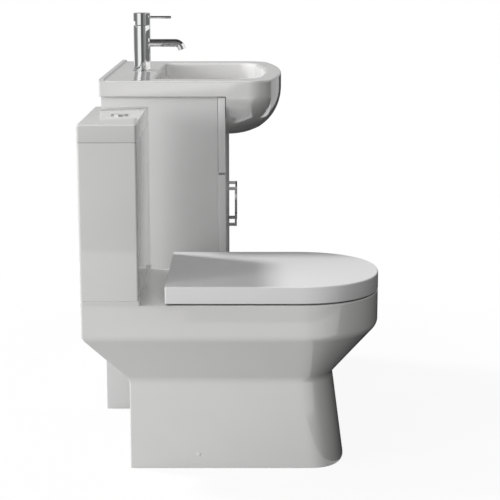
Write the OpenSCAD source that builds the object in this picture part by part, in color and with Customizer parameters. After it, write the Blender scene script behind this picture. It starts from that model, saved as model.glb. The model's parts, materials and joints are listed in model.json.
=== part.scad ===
// Toilet and basin combination unit: a close-coupled toilet beside a vanity cabinet with a
// semi-recessed basin. The wall is at the back (+Y), the fronts face -Y and the floor is Z = 0.
// Inside the modules, y = 0 is the wall and y = -d is a distance d in front of it.

/* [Overall] */
// Depth of the whole unit from the wall
unit_depth = 675; // [675:1:680]
// Free space between the toilet and the basin
gap_w = 96; // [80:1:160]

/* [Toilet] */
// Width of the pan, cistern and seat
toilet_w = 382; // [382:1:390]
// Height of the pan's rim
rim_h = 399; // [398:1:400]
// Height of the shelf that carries the cistern
shelf_h = 409; // [409:1:410]
// Depth of the cistern from the wall
cistern_d = 130; // [130:1:134]
// Top of the cistern tank, under the lid
tank_top = 762; // [750:1:775]
// Height of the cistern lid
cistern_lid_h = 39; // [34:1:42]
// Distance of the flush button from the wall
flush_d = 78; // [76:1:80]

/* [Seat] */
// Distance of the seat's rear edge from the wall
seat_back = 187; // [186:1:188]
// Top of the closed seat lid
seat_top = 442; // [441:1:444]

/* [Basin] */
// Width of the basin
basin_w = 680; // [660:1:700]
// Depth of the basin from the wall
basin_d = 460; // [455:1:465]
// Top of the basin
basin_top = 854; // [853:1:856]
// Thickness of the basin's slab edge
slab_h = 39; // [38:1:40]

/* [Cabinet] */
// Width of the cabinet
cabinet_w = 652; // [640:1:656]
// Thickness of the panels
panel_t = 18; // [16:1:18]
// Distance of the carcass front from the wall
carcass_d = 295; // [294:1:296]
// Underside of the fixed fascia
fascia_low = 622; // [620:1:626]
// Bottom edge of the doors
door_low = 82; // [82:1:90]
// Length of the square door handles
handle_h = 107; // [96:1:128]

/* [Tap] */
// Distance of the tap's axis from the wall
tap_d = 84.5; // [84:0.5:86]
// Diameter of the tap's body
tap_dia = 45; // [44:1:46]

/* [Hidden] */

ceramic = [0.80, 0.80, 0.78];
matte_white = [0.86, 0.86, 0.86];
board_white = [0.83, 0.83, 0.82];
chrome = [0.72, 0.73, 0.75];
plastic = [0.92, 0.92, 0.90];
rubber = [0.12, 0.12, 0.12];

eps = 0.5;
fit = 0.05;
wall_y = unit_depth / 2;
unit_w = toilet_w + gap_w + basin_w;
toilet_x = -unit_w / 2 + toilet_w / 2;
basin_x = unit_w / 2 - basin_w / 2;
half_w = toilet_w / 2;
half_cab = cabinet_w / 2;
slab_low = basin_top - slab_h;

// Everything of the toilet half sits in this frame, everything of the vanity half in the next.
module at_toilet() { translate([toilet_x, wall_y, 0]) children(); }
module at_vanity() { translate([basin_x, wall_y, 0]) children(); }

// ---------------------------------------------------------------- outlines and lofts

corner_steps = 4;
nose_steps = 24;
front_steps = 8;

function power(v, p) = sign(v) * pow(abs(v), p);
function arc(cx, cy, r, a0, a1, n) =
    [for (i = [0:n]) let (a = a0 + (a1 - a0) * i / n) [cx + r * cos(a), cy + r * sin(a)]];

// D-shaped plan: a straight back with small corners, straight sides and a round nose.
// w = half width, b and f = distances of back and front, nose = length of the round part,
// rc = radius of the back corners, p = squareness of the nose.
function d_plan(w, b, f, nose, rc, p = 2.1) = concat(
    arc(w - rc, -b - rc, rc, 0, 90, corner_steps),
    arc(-w + rc, -b - rc, rc, 90, 180, corner_steps),
    [for (i = [0:nose_steps]) let (a = 180 + 180 * i / nose_steps)
        [w * power(cos(a), 2 / p), -(f - nose) + nose * power(sin(a), 2 / p)]]
);

// Plan with a narrow back part and a wide front part that starts at the distance step.
// rf = radii of the front corners along the width and the depth, bow = how far the front
// curves back from its middle to the sides, lip = depth of the step's slope.
function step_plan(w_back, w, b, step, f, rf, rc, lip, bow = 0) = concat(
    arc(w_back - rc, -b - rc, rc, 0, 90, corner_steps),
    arc(-w_back + rc, -b - rc, rc, 90, 180, corner_steps),
    [[-w_back, -step + lip], [-w, -step]],
    bowed([for (i = [0:front_steps]) let (a = 180 + 90 * i / front_steps)
        [-w + rf[0] + rf[0] * cos(a), -f + rf[1] + rf[1] * sin(a)]], w, bow),
    bowed([for (i = [1:front_steps - 1]) [(w - rf[0]) * (2 * i / front_steps - 1), -f]], w, bow),
    bowed([for (i = [0:front_steps]) let (a = 270 + 90 * i / front_steps)
        [w - rf[0] + rf[0] * cos(a), -f + rf[1] + rf[1] * sin(a)]], w, bow),
    [[w, -step], [w_back, -step + lip]]
);
function bowed(points, w, bow) = [for (q = points) [q[0], q[1] + bow * pow(q[0] / w, 2)]];

function at_height(plan, z) = [for (q = plan) [q[0], q[1], z]];

// Solid skinned over a list of rings with the same number of points. Rings run so that the
// material lies on the inner side going up. An open loft gets an end face at both ends.
module loft(rings, closed = false) {
    n = len(rings[0]);
    count = len(rings);
    last = closed ? count - 1 : count - 2;
    sides = [for (k = [0:last], i = [0:n - 1], half = [0, 1])
        let (j = (i + 1) % n, a = k * n, b = ((k + 1) % count) * n)
        half == 0 ? [a + i, b + i, b + j] : [a + i, b + j, a + j]];
    caps = closed ? [] : [
        [for (i = [0:n - 1]) i],
        [for (i = [n - 1:-1:0]) (count - 1) * n + i]
    ];
    polyhedron(points = [for (r = rings, q = r) q], faces = concat(sides, caps), convexity = 10);
}

// Straight blend between two lists of ring sizes, and a rounded bend through a middle one.
function mix(a, b, t) = a + (b - a) * t;
function bend(a, b, c, t) = mix(mix(a, b, t), mix(b, c, t), t);
function bend_rows(a, b, c, n) = [for (i = [0:n]) bend(a, b, c, i / n)];

// Rectangle with rounded corners, from exact arcs. Its back edge lies on the wall side at -b.
module rounded_plan(w, b, f, r) {
    translate([-w + r, -f]) square([2 * (w - r), f - b]);
    translate([-w, -f + r]) square([2 * w, f - b - 2 * r]);
    for (x = [-w + r, w - r], y = [-f + r, -b - r])
        translate([x, y]) circle(r = r, $fn = 48);
}

module rounded_slab(w, b, f, r, z0, z1) {
    translate([0, 0, z0]) linear_extrude(z1 - z0) rounded_plan(w, b, f, r);
}

module rod(r, h) { cylinder(r = r, h = h, $fn = 64); }
module tube(r_out, r_in, h) {
    difference() {
        rod(r_out, h);
        translate([0, 0, -eps]) rod(r_in, h + 2 * eps);
    }
}
// Cylinders along X and along the depth, starting at the given point.
module rod_x(r, l) { rotate([0, 90, 0]) rod(r, l); }
module rod_out(r, l) { rotate([90, 0, 0]) rod(r, l); }
module hexagon(r, h) { cylinder(r = r, h = h, $fn = 6); }

// ---------------------------------------------------------------- toilet pan

foot_back = 101;
foot_w = 138;
foot_front = 597;
waist_w = 130;
waist_front = 569;
waist_h = 210;
crease_h = 321;
pan_front = unit_depth;
pan_nose = 186;
outlet_z = 185;
outlet_r = 51;
screw_d = 258;
screw_z = 33;
bolt_x = 84;
inlet_x = -130;

// One row of pan sizes: half width, back, front, nose, back corner radius, squareness of
// the nose, height.
foot_row = [foot_w, foot_back, foot_front, 90, 3, 2.6, 0];
waist_row = [waist_w, foot_back, waist_front, 90, 3, 2.6, waist_h];
crease_row = [half_w, 0, pan_front, pan_nose, 5, 2.1, crease_h];
rim_row = [half_w, 0, pan_front, pan_nose, 5, 2.1, rim_h - 3];

function pan_plan(row) =
    at_height(d_plan(row[0], row[1], row[2], row[3], row[4], row[5]), row[6]);

// Bowl rows run from the rim down to the sump.
bowl_rows = [
    [half_w - 1, 1, pan_front - 1, pan_nose, 5, 2.1, rim_h - 1],
    [half_w - 3, 3, pan_front - 3, pan_nose, 5, 2.1, rim_h],
    [128, 292, 644, 150, 60, 2.1, rim_h],
    [122, 298, 638, 146, 60, 2.1, rim_h - 5],
    [120, 300, 636, 145, 60, 2.1, rim_h - 48],
    [112, 312, 622, 138, 56, 2.1, rim_h - 95],
    [92, 336, 584, 122, 46, 2.1, rim_h - 140],
    [66, 350, 524, 88, 34, 2.1, rim_h - 180],
    [44, 358, 470, 56, 24, 2.1, rim_h - 222],
    [34, 364, 440, 40, 20, 2.1, rim_h - 250],
    [20, 376, 424, 24, 14, 2.1, rim_h - 258]
];

module pan_body() {
    waist_in = mix(foot_row, waist_row, 0.95);
    waist_out = mix(waist_row, crease_row, 0.08);
    crease_in = mix(waist_row, crease_row, 0.93);
    crease_out = mix(crease_row, rim_row, 0.12);
    rows = concat(
        [foot_row],
        bend_rows(waist_in, waist_row, waist_out, 4),
        bend_rows(crease_in, crease_row, crease_out, 5),
        [rim_row],
        bowl_rows
    );
    loft([for (row = rows) pan_plan(row)]);
}

module toilet_pan() at_toilet() color(ceramic) {
    difference() {
        union() {
            pan_body();
            // shelf under the cistern
            rounded_slab(half_w, 0, cistern_d + 3, 5, rim_h - 20, shelf_h);
            // outlet spigot towards the wall
            translate([0, -foot_back - 100, outlet_z]) rotate([-90, 0, 0]) rod(outlet_r, 98);
        }
        pan_hollows();
    }
}

module pan_hollows() {
    difference() {
        union() {
            // service space behind the foot
            translate([-112, -190, -1]) cube([224, 191, 320]);
            // open back under the shelf, on both sides of the water way
            translate([0, 1, 0]) rotate([90, 0, 0]) linear_extrude(127)
                polygon([[112, -1], [112, 212], [171, 322], [174, shelf_h - 23],
                    [52, shelf_h - 23], [52, 318], [-52, 318], [-52, shelf_h - 23],
                    [-174, shelf_h - 23], [-171, 322], [-112, 212], [-112, -1]]);
        }
        // the outlet spigot stays
        translate([0, -foot_back - 100, outlet_z]) rotate([-90, 0, 0]) rod(outlet_r, 98);
    }
    // underside of the foot
    translate([-112, -480, -1]) cube([224, 260, 118]);
    // water way from the cistern to the bowl
    translate([0, -flush_d, rim_h - 56]) rod(27, 80);
    translate([0, -flush_d + 20, rim_h - 36]) rod_out(16, 342 - flush_d);
    translate([0, -flush_d, shelf_h - 15]) rod(48, 20);
    // trap passage: sump, rise to the weir and fall to the outlet
    translate([0, -392, 164]) rotate([60, 0, 180]) rod(25, 128);
    translate([0, -300, 226]) rotate([-110, 0, 0]) rod(26, 96);
    translate([0, -225, outlet_z]) rotate([-90, 0, 0]) rod(44, 160);
    // coupling bolts, inlet, seat fixings
    for (s = [-1, 1]) {
        translate([s * bolt_x, -flush_d, shelf_h - 40]) rod(6, 60);
        translate([s * hinge_x, -hinge_d, rim_h - 42]) rod(6, 60);
    }
    translate([inlet_x, -45, shelf_h - 40]) rod(14, 60);
    // side fixing holes with a seat for their caps
    both_sides() {
        translate([100, -screw_d, screw_z]) rod_x(3, 60);
        translate([foot_w - 5.5, -screw_d, screw_z]) rod_x(5, 20);
    }
}

module both_sides() { for (s = [-1, 1]) mirror([s < 0 ? 1 : 0, 0, 0]) children(); }

bracket_out = 111.9;

// Angle brackets on the floor inside the foot. The pan is screwed to them from the sides.
module pan_floor_brackets() at_toilet() color(plastic) both_sides()
    difference() {
        union() {
            translate([bracket_out - 46, -screw_d - 22, 0]) cube([46, 44, 6]);
            translate([bracket_out - 12, -screw_d - 22, 0]) cube([12, 44, 52]);
            translate([bracket_out - 34, -screw_d - 3, 5]) cube([24, 6, 26]);
        }
        translate([bracket_out - 40, -screw_d, screw_z]) rod_x(2.5, 60);
        translate([bracket_out - 35, -screw_d - 12, -1]) rod(4, 20);
        translate([bracket_out - 35, -screw_d + 12, -1]) rod(4, 20);
    }

module pan_side_screws() at_toilet() color(chrome) both_sides() {
    translate([bracket_out - 18, -screw_d, screw_z]) rod_x(2.5, 40);
    translate([foot_w - 5.4, -screw_d, screw_z]) rod_x(4.2, 2);
}

module pan_side_caps() at_toilet() color(plastic) both_sides()
    translate([foot_w - 3.4, -screw_d, screw_z]) {
        rod_x(4.9, 2.4);
        translate([2.4, 0, 0]) rotate([0, 90, 0]) cylinder(r1 = 4.9, r2 = 3.2, h = 0.9, $fn = 64);
    }

// ---------------------------------------------------------------- cistern

tank_wall = 9;
tank_low = shelf_h;
lid_top = tank_top + cistern_lid_h;
floor_in = tank_low + 10;

module cistern_tank() at_toilet() color(ceramic)
    difference() {
        rounded_slab(half_w, 0, cistern_d, 4.5, tank_low, tank_top - 0.6);
        rounded_slab(half_w - tank_wall, tank_wall, cistern_d - tank_wall, 8, floor_in, tank_top + 1);
        translate([0, -flush_d, tank_low - 1]) rod(tail_r + 1, 30);
        for (s = [-1, 1])
            translate([s * bolt_x, -flush_d, tank_low - 1]) rod(5, 30);
        translate([inlet_x, -45, tank_low - 1]) rod(10.6, 30);
        // wall fixings in the back, near the top
        for (s = [-1, 1])
            translate([s * 150, 1, tank_top - 62]) rod_out(4, tank_wall + 6);
    }

// Lid with a lip that drops inside the tank and a soft top edge.
module cistern_lid() at_toilet() color(ceramic)
    difference() {
        union() {
            rounded_slab(half_w, 0, cistern_d, 4.5, tank_top, lid_top - 3);
            rounded_slab(half_w - 1, 1, cistern_d - 1, 4.5, lid_top - 3.5, lid_top - 1);
            rounded_slab(half_w - 3, 3, cistern_d - 3, 4.5, lid_top - 1.5, lid_top);
            rounded_slab(half_w - tank_wall - 2, tank_wall + 2, cistern_d - tank_wall - 2, 6,
                tank_top - 10, tank_top + 1);
        }
        rounded_slab(half_w - 18, 18, cistern_d - 18, 6, tank_top - 11, lid_top - 12);
        translate([0, -flush_d, tank_top]) rod(19, 60);
    }

module coupling_washer() at_toilet() color(rubber)
    translate([0, -flush_d, shelf_h - 15]) tube(46, 35, 15);

module coupling_bolts() at_toilet() color(chrome) both_sides()
    translate([bolt_x, -flush_d, 0]) {
        translate([0, 0, 345]) rod(4, floor_in - 345 + 3);
        translate([0, 0, floor_in]) rod(11, 3);
        translate([0, 0, floor_in + 3]) hexagon(7.5, 5);
    }

// Washer and wing nut under the shelf.
module coupling_nuts() at_toilet() color(chrome) both_sides()
    translate([bolt_x, -flush_d, 0]) difference() {
        union() {
            translate([0, 0, shelf_h - 26]) rod(13, 3);
            translate([0, 0, shelf_h - 38]) rod(9, 12);
            for (s = [-1, 1]) translate([s > 0 ? 6 : -20, -1.5, shelf_h - 44]) cube([14, 3, 14]);
        }
        translate([0, 0, 340]) rod(4, 80);
    }

// ---------------------------------------------------------------- dual flush

tail_r = 25;
button_r = 17;
button_split = 5;
valve_top = 640;

module flush_bezel() at_toilet() color(chrome)
    translate([0, -flush_d, 0]) {
        translate([0, 0, lid_top]) tube(21, 17.6, 2.2);
        translate([0, 0, tank_top - 24]) tube(18.9, 17.6, lid_top - tank_top + 26);
        translate([0, 0, lid_top - 18]) tube(24, 18.8, 6);
    }

// One part of the split round button: the big part on one side of the split, or the small one.
module button_part(big) {
    translate([0, -flush_d, lid_top - 12]) difference() {
        intersection() {
            rod(button_r, 14.8);
            translate([-30, big ? -30 : button_split + 0.3, 0])
                cube([60, big ? 30 + button_split - 0.3 : 30, 20]);
        }
        translate([0, 0, -1]) difference() {
            rod(button_r - 2.5, 12);
            translate([-30, button_split - 2.5, -1]) cube([60, 5, 20]);
        }
    }
}

module flush_button_full() at_toilet() color(chrome) button_part(true);
module flush_button_half() at_toilet() color(chrome) button_part(false);

module push_rod(y) {
    translate([0, -flush_d + y, valve_top - 14]) rod(2.5, lid_top - 2 - valve_top + 14);
    translate([0, -flush_d + y, lid_top - 15]) rod(2.9, 14);
}
module flush_rod_full() at_toilet() color(plastic) push_rod(-7);
module flush_rod_half() at_toilet() color(plastic) push_rod(11);

// Open cage of the flush valve with the outlet tail through the tank floor.
module flush_valve_cage() at_toilet() color(plastic)
    translate([0, -flush_d, 0]) difference() {
        union() {
            translate([0, 0, floor_in]) rod(38, 8);
            translate([0, 0, 372]) rod(tail_r, floor_in - 370);
            translate([0, 0, floor_in]) rod(34, 66);
            translate([0, 0, floor_in + 60]) rod(22, valve_top - floor_in - 60);
            translate([0, 0, valve_top - 26]) rod(26, 26);
        }
        translate([0, 0, 371]) rod(22, floor_in - 371 + 14);
        translate([0, 0, floor_in + 8]) rod(31, 54);
        translate([0, 0, floor_in + 50]) rod(18.2, valve_top - floor_in - 50 - 22);
        for (a = [0:60:300]) rotate([0, 0, a + 30])
            translate([-8, -40, floor_in + 14]) cube([16, 40, 40]);
        translate([0, -7, valve_top - 30]) rod(3.1, 40);
        translate([0, 11, valve_top - 30]) rod(3.1, 40);
    }

module flush_valve_riser() at_toilet() color(plastic)
    translate([0, -flush_d, 0]) {
        translate([0, 0, floor_in + 11.5]) rod(26, 5);
        translate([0, 0, floor_in + 11.5]) tube(18, 15, valve_top - floor_in - 60);
    }

module flush_valve_seal() at_toilet() color(rubber)
    translate([0, -flush_d, floor_in + 8.3]) rod(28, 3.2);

module flush_valve_backnut() at_toilet() color(plastic)
    translate([0, -flush_d, shelf_h - 10]) tube(34, tail_r, 10);

// ---------------------------------------------------------------- fill valve

module fill_valve() at_toilet() color(plastic)
    translate([inlet_x, -45, 0]) {
        translate([0, 0, 352]) rod(10.4, shelf_h - 33 - 352);
        translate([0, 0, shelf_h - 34]) rod(10, floor_in - shelf_h + 34);
        translate([0, 0, floor_in]) rod(15, 6);
        translate([0, 0, floor_in + 6]) rod(9, 200);
        translate([0, 0, floor_in + 200]) rod(19, 46);
        translate([12, -5, floor_in + 238]) cube([42, 10, 8]);
    }

module fill_valve_float() at_toilet() color(plastic)
    translate([inlet_x, -45, floor_in + 140]) tube(27, 10, 52);

module fill_valve_backnut() at_toilet() color(plastic)
    translate([inlet_x, -45, shelf_h - 33]) difference() {
        hexagon(17, 10);
        translate([0, 0, -1]) rod(10, 12);
    }

// ---------------------------------------------------------------- seat and lid

hinge_x = 78;
hinge_d = seat_back + 9;
hinge_z = rim_h + 18;
pin_r = 3;
lid_low = rim_h + 4;
lid_wall = 4;
lid_under = seat_top - 6;
ring_low = rim_h + 7;
ring_top = ring_low + 19;
ring_back = hinge_d + 16;
seat_front = unit_depth;
seat_nose = 188;

// Post on the rim with its barrel, and its fixing stem in the rim's hole.
module seat_hinge_posts() at_toilet() color(chrome) both_sides()
    translate([hinge_x, -hinge_d, 0]) difference() {
        union() {
            translate([0, 0, rim_h]) rod(7.5, 3);
            translate([0, 0, rim_h - 36]) rod(5, 38);
            translate([-7, -5, rim_h + 1]) cube([14, 10, hinge_z - rim_h - 1]);
            translate([-7, 0, hinge_z]) rod_x(6, 14);
        }
        translate([-10, 0, hinge_z]) rod_x(pin_r, 20);
    }

module seat_hinge_pins() at_toilet() color(chrome) both_sides()
    translate([hinge_x - 20, -hinge_d, hinge_z]) rod_x(pin_r, 40);

function seat_plan(inset, z) = at_height(
    d_plan(half_w - inset, seat_back + inset, seat_front - inset, seat_nose - inset, 4, 2.15), z);

// Shallow shell that wraps over the ring, with hinge lugs outside the posts.
module seat_lid() at_toilet() color(matte_white)
    difference() {
        union() {
            loft([
                seat_plan(lid_wall, lid_under), seat_plan(lid_wall, lid_low + 1),
                seat_plan(1.2, lid_low), seat_plan(0, lid_low + 1.2),
                seat_plan(0, seat_top - 2), seat_plan(0.7, seat_top - 0.7), seat_plan(2.5, seat_top)
            ]);
            both_sides() translate([hinge_x + 8, -hinge_d, hinge_z]) {
                rod_x(6, 10);
                translate([0, -5, 0]) cube([10, 10, lid_under - hinge_z + 1]);
            }
        }
        both_sides() translate([hinge_x + 7, -hinge_d, hinge_z]) rod_x(pin_r + fit, 14);
        // clearance over the hinge barrels, and open behind them
        both_sides() translate([hinge_x - 21, -hinge_d, 0]) {
            translate([0, 0, hinge_z]) rod_x(12, 28.7);
            translate([0, 0, lid_low - 1])
                cube([28.7, hinge_d - seat_back + 2, hinge_z - lid_low + 5]);
        }
    }

module seat_lid_bumpers() at_toilet() color(rubber) both_sides()
    for (d = [300, 540])
        translate([d < 400 ? 160 : 140, -d, ring_top + 0.3]) rod(5, lid_under - ring_top - 0.3);

function ring_plan(inset, z) = at_height(
    d_plan(half_w - 7 - inset, ring_back + inset, seat_front - 7 - inset, seat_nose - 8 - inset,
        26, 2.15), z);
function hole_plan(grow, z) = at_height(
    d_plan(104 + grow, 284 - grow, 596 + grow, 118 + grow, 60, 2.1), z);

// Seat ring with hinge lugs inside the posts.
module seat_ring() at_toilet() color(matte_white)
    difference() {
        union() {
            loft([
                ring_plan(2, ring_low), ring_plan(0, ring_low + 3), ring_plan(0, ring_top - 5),
                ring_plan(6, ring_top - 1), ring_plan(14, ring_top),
                hole_plan(14, ring_top), hole_plan(5, ring_top - 1.5), hole_plan(0, ring_top - 7),
                hole_plan(2, ring_low)
            ], closed = true);
            both_sides() translate([hinge_x - 18, -hinge_d, hinge_z]) {
                rod_x(6, 10);
                translate([0, -30, -6]) cube([10, 30, 11]);
            }
        }
        both_sides() translate([hinge_x - 21, -hinge_d, hinge_z]) rod_x(pin_r + fit, 15);
    }

module seat_ring_bumpers() at_toilet() color(rubber) both_sides()
    for (d = [316, 566])
        translate([d < 400 ? 150 : 142, -d, rim_h + 0.3]) rod(7, ring_low - rim_h - 0.3);

// ---------------------------------------------------------------- basin

belly_low = 688;
belly_in = 122;
belly_base = 39;
belly_h = slab_low - 0.3 - belly_low;
basin_corner = [50, 50];
basin_bow = 41;
body_half = 285;
body_back = 112;
step_d = carcass_d + 21;
bowl_half = 272;
bowl_back = 127;
bowl_front = 422;
bowl_floor = 712;
drain_d = 250;
half_basin = basin_w / 2;
belly_steps = [1, 0.985, 0.95, 0.89, 0.8, 0.68, 0.54, 0.38, 0.2, 0];
bowl_steps = [0, 0.2, 0.4, 0.58, 0.74, 0.86, 0.94, 1];

// Section of the belly at the fraction t of the way down: its share of the full half width,
// and how far its front has drawn in, as a quarter ellipse.
function belly_share(t) = pow(1 - pow(t, 1.65), 1 / 1.65);
function belly_half(t) = mix(belly_base, half_basin, belly_share(t));
function belly_inset(t) = belly_in * (1 - sqrt(1 - t * t));
function belly_ring(t) =
    let (w = belly_half(t), f = basin_d - belly_inset(t), s = 1 - belly_share(t),
        round = min(basin_corner[1] + basin_bow + 20 * s, f - step_d - 4))
    at_height(step_plan(min(body_half, w - 1), w, body_back + belly_inset(t) * 0.35, step_d, f,
        [min(basin_corner[0] + 110 * s, 0.85 * w), round * (0.55 + 0.07 * s)], 12, 1.5,
        round * (0.45 - 0.07 * s)), slab_low - 0.3 - belly_h * t);
function slab_ring(back, front, z) =
    at_height(step_plan(half_basin - back, half_basin - front, back, step_d, basin_d - front,
        basin_corner - [front, front], 5, max(back - front, 0.1), basin_bow), z);

// Bowl from its soft lip down to the floor. u runs from 0 at the top to 1 at the floor.
function lip_ring(i, z) =
    at_height(step_plan(bowl_half - i - 0.5, bowl_half - i, bowl_back + (i + 6) / 2,
        basin_d - 205, bowl_front - i, [50 - i, 45 - i], 18, 4, 34), z);
function bowl_share(u) = pow(1 - pow(0.97 * u, 3), 1 / 3);
function bowl_ring(u) =
    let (k = bowl_share(u), w = (bowl_half - 8) * k, f = drain_d + (bowl_front - 8 - drain_d) * k,
        round = min(72, f - (basin_d - 205) - 8))
    at_height(step_plan(w - 0.5, w, bowl_back + 7 + 57 * (1 - k), basin_d - 205, f,
        [min(44 + 50 * u, 0.8 * w), round * 0.54], 18 + 20 * u, 4, round * 0.46),
        mix(basin_top - 16, bowl_floor + 3, u));

// Small ring a little under the belly, inside the bore for the waste.
function bore_ring() =
    at_height(step_plan(5, 12, drain_d - 15, drain_d + 4, drain_d + 15, [8, 6], 4, 6), belly_low - 1);

module basin_body()
    loft(concat(
        [bore_ring()],
        [for (t = belly_steps) belly_ring(t)],
        [slab_ring(1, 0, slab_low), slab_ring(0.1, 0, slab_low + 1),
            slab_ring(0.1, 0, basin_top - 4.5), slab_ring(1.3, 1.3, basin_top - 1.3),
            slab_ring(4.5, 4.5, basin_top)],
        [lip_ring(-6, basin_top), lip_ring(-1, basin_top - 1), lip_ring(4, basin_top - 4.5),
            lip_ring(7, basin_top - 10)],
        [for (u = bowl_steps) bowl_ring(u)]
    ));

upstand_w = 14;
upstand_h = 4.5;
overflow_d = bowl_back + 5.8;

module basin() at_vanity() color(ceramic)
    difference() {
        union() {
            basin_body();
            // upstand along the wall with a softened front
            rotate([90, 0, 90]) translate([0, 0, -half_basin + 2]) linear_extrude(basin_w - 4)
                polygon([[-1, basin_top - 8], [-1, basin_top + upstand_h],
                    [-upstand_w + 4, basin_top + upstand_h], [-upstand_w + 1, basin_top + 3],
                    [-upstand_w, basin_top - 0.2], [-upstand_w, basin_top - 8]]);
            translate([0, -drain_d, belly_low - 12]) rod(36, 30);
        }
        translate([0, -tap_d, slab_low - 5]) rod(17.5, 60);
        translate([0, -tap_d, slab_low - 5]) rod(34, 22);
        translate([0, -drain_d, belly_low - 20]) rod(22.5, 60);
        // overflow opening in the back wall of the bowl, with a flat seat for its ring
        translate([0, -overflow_d - 6, basin_top - 34]) rotate([-90, 0, 0]) {
            rod(11, 26);
            rod(15.2, 6);
        }
    }

module overflow_ring() at_vanity() color(chrome)
    translate([0, -overflow_d - 2.5, basin_top - 34]) rotate([-90, 0, 0]) {
        tube(10.9, 8, 12);
        tube(15, 8, 2.5);
    }

// ---------------------------------------------------------------- waste and trap

waste_r = 19;
waste_top = bowl_floor + 6;
nut_top = belly_low - 15;
waste_end = 640;

module basin_waste() at_vanity() color(chrome)
    translate([0, -drain_d, 0]) difference() {
        union() {
            translate([0, 0, waste_end]) rod(waste_r, waste_top - waste_end - 3);
            translate([0, 0, waste_top - 20]) rod(22.2, 17);
            translate([0, 0, waste_top - 3]) cylinder(r1 = 30, r2 = 32, h = 3, $fn = 64);
        }
        translate([0, 0, waste_end - 1]) rod(16, 46);
        translate([0, 0, waste_end + 44]) rod(5, 60);
        for (a = [0:90:270]) rotate([0, 0, a + 45])
            translate([7, -3, waste_end + 44]) cube([7, 6, 60]);
        translate([0, 0, waste_top - 7]) rod(20.5, 12);
    }

module waste_plug() at_vanity() color(chrome)
    translate([0, -drain_d, 0]) {
        translate([0, 0, waste_top - 3.5]) rod(20, 4.5);
        translate([0, 0, waste_end + 30]) rod(4.9, waste_top - 3 - waste_end - 30);
    }

module waste_washer() at_vanity() color(rubber)
    translate([0, -drain_d, nut_top]) tube(30, waste_r, 3);

module waste_nut() at_vanity() color(chrome)
    translate([0, -drain_d, nut_top - 9]) difference() {
        cylinder(r = 30, h = 9, $fn = 8);
        translate([0, 0, -1]) rod(waste_r, 12);
    }

trap_top = 646;
trap_low = 520;
trap_r = 27;
trap_out_z = 590;
trap_out_r = 16;
trap_end_r = 15.5;

module bottle_trap() at_vanity() color(chrome)
    translate([0, -drain_d, 0]) difference() {
        union() {
            translate([0, 0, trap_top - 26]) rod(25, 26);
            translate([0, 0, trap_low + 14]) rod(trap_r, trap_top - trap_low - 36);
            translate([0, trap_r - 8, trap_out_z]) rotate([-90, 0, 0]) rod(21, 32);
        }
        translate([0, 0, trap_top - 6]) rod(waste_r, 8);
        translate([0, 0, trap_low + 30]) rod(15, trap_top - trap_low - 30);
        translate([0, 0, trap_low + 13]) rod(23, 64);
        translate([0, 0, trap_out_z]) rotate([-90, 0, 0]) rod(trap_end_r, 80);
    }

module trap_cup() at_vanity() color(chrome)
    translate([0, -drain_d, 0]) difference() {
        union() {
            translate([0, 0, trap_low]) rod(30, 14);
            translate([0, 0, trap_low + 13]) rod(22.9, 6);
            translate([0, 0, trap_low - 6]) rod(12, 8);
        }
        translate([0, 0, trap_low + 4]) rod(20, 30);
    }

// The pipe steps down where it enters the boss of the trap.
module trap_outlet_pipe() at_vanity() color(chrome)
    translate([0, -drain_d + trap_r + 8, trap_out_z]) rotate([-90, 0, 0]) {
        tube(trap_end_r, 14, 22);
        translate([0, 0, 19]) tube(trap_out_r, 14, drain_d - trap_r - 27);
    }

// ---------------------------------------------------------------- tap

tap_r = tap_dia / 2;
seam_z = basin_top + 122;
tap_top = basin_top + 154;
tilt_y = 12;
tap_tilt_z = seam_z + 8;
tilt_r = 2;
lever_lift = 15;
spout_z = basin_top + 73.5;
spout_r = 10.5;
spout_bend = 17;
spout_reach = 89.6;
spout_angle = 72;
spout_mouth = 6;
spout_bore = 8.6;
spout_sides = 28;
spout_steps = 8;
lever_z = basin_top + 142;
lever_r = 3.5;
lever_tip = 79;

module tap_base_ring() at_vanity() color(chrome)
    translate([0, -tap_d, basin_top]) tube(27, tap_r - 4, 2.2);

// Body with the swept spout. The cartridge sits in the body's open top.
module tap_body() at_vanity() color(chrome)
    translate([0, -tap_d, 0]) difference() {
        union() {
            translate([0, 0, basin_top + 2.2]) rod(tap_r, seam_z - basin_top - 3.2);
            translate([0, 0, basin_top - 5]) rod(tap_r - 6, 12);
            spout();
        }
        translate([0, 0, seam_z - 30]) rod(17.05, 40);
        translate([0, -8, spout_z]) rod_out(spout_bore - 0.5, 22);
    }

// Ring around the spout: at a distance along the straight part, or at an angle along the bend.
function spout_ring(r, reach, angle) = [for (i = [0:spout_sides - 1])
    let (a = 360 * i / spout_sides, out = reach + (spout_bend + r * sin(a)) * sin(angle))
    [r * cos(a), -out, spout_z - spout_bend + (spout_bend + r * sin(a)) * cos(angle)]];
function spout_rings(r) = concat([spout_ring(r, 12, 0)],
    [for (k = [0:spout_steps]) spout_ring(r, spout_reach, spout_angle * k / spout_steps)],
    [[for (q = spout_ring(r, spout_reach, spout_angle))
        q - spout_mouth * [0, cos(spout_angle), sin(spout_angle)]]]);
function turned(list) = [for (i = [len(list) - 1:-1:0]) list[i]];

module spout() loft(concat(spout_rings(spout_r), turned(spout_rings(spout_bore))), closed = true);

// Frame at the mouth of the spout, its Z along the way out.
module spout_end()
    translate([0, -spout_reach - spout_bend * sin(spout_angle) - spout_mouth * cos(spout_angle),
        spout_z - spout_bend * (1 - cos(spout_angle)) - spout_mouth * sin(spout_angle)])
        rotate([90 + spout_angle, 0, 0]) children();

module tap_aerator() at_vanity() color(chrome)
    translate([0, -tap_d, 0]) spout_end() translate([0, 0, -5.9]) difference() {
        rod(8.5, 5.6);
        for (a = [0:60:300]) rotate([0, 0, a]) translate([4.6, 0, -1]) rod(1.2, 10);
        translate([0, 0, -1]) rod(1.2, 10);
    }

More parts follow.
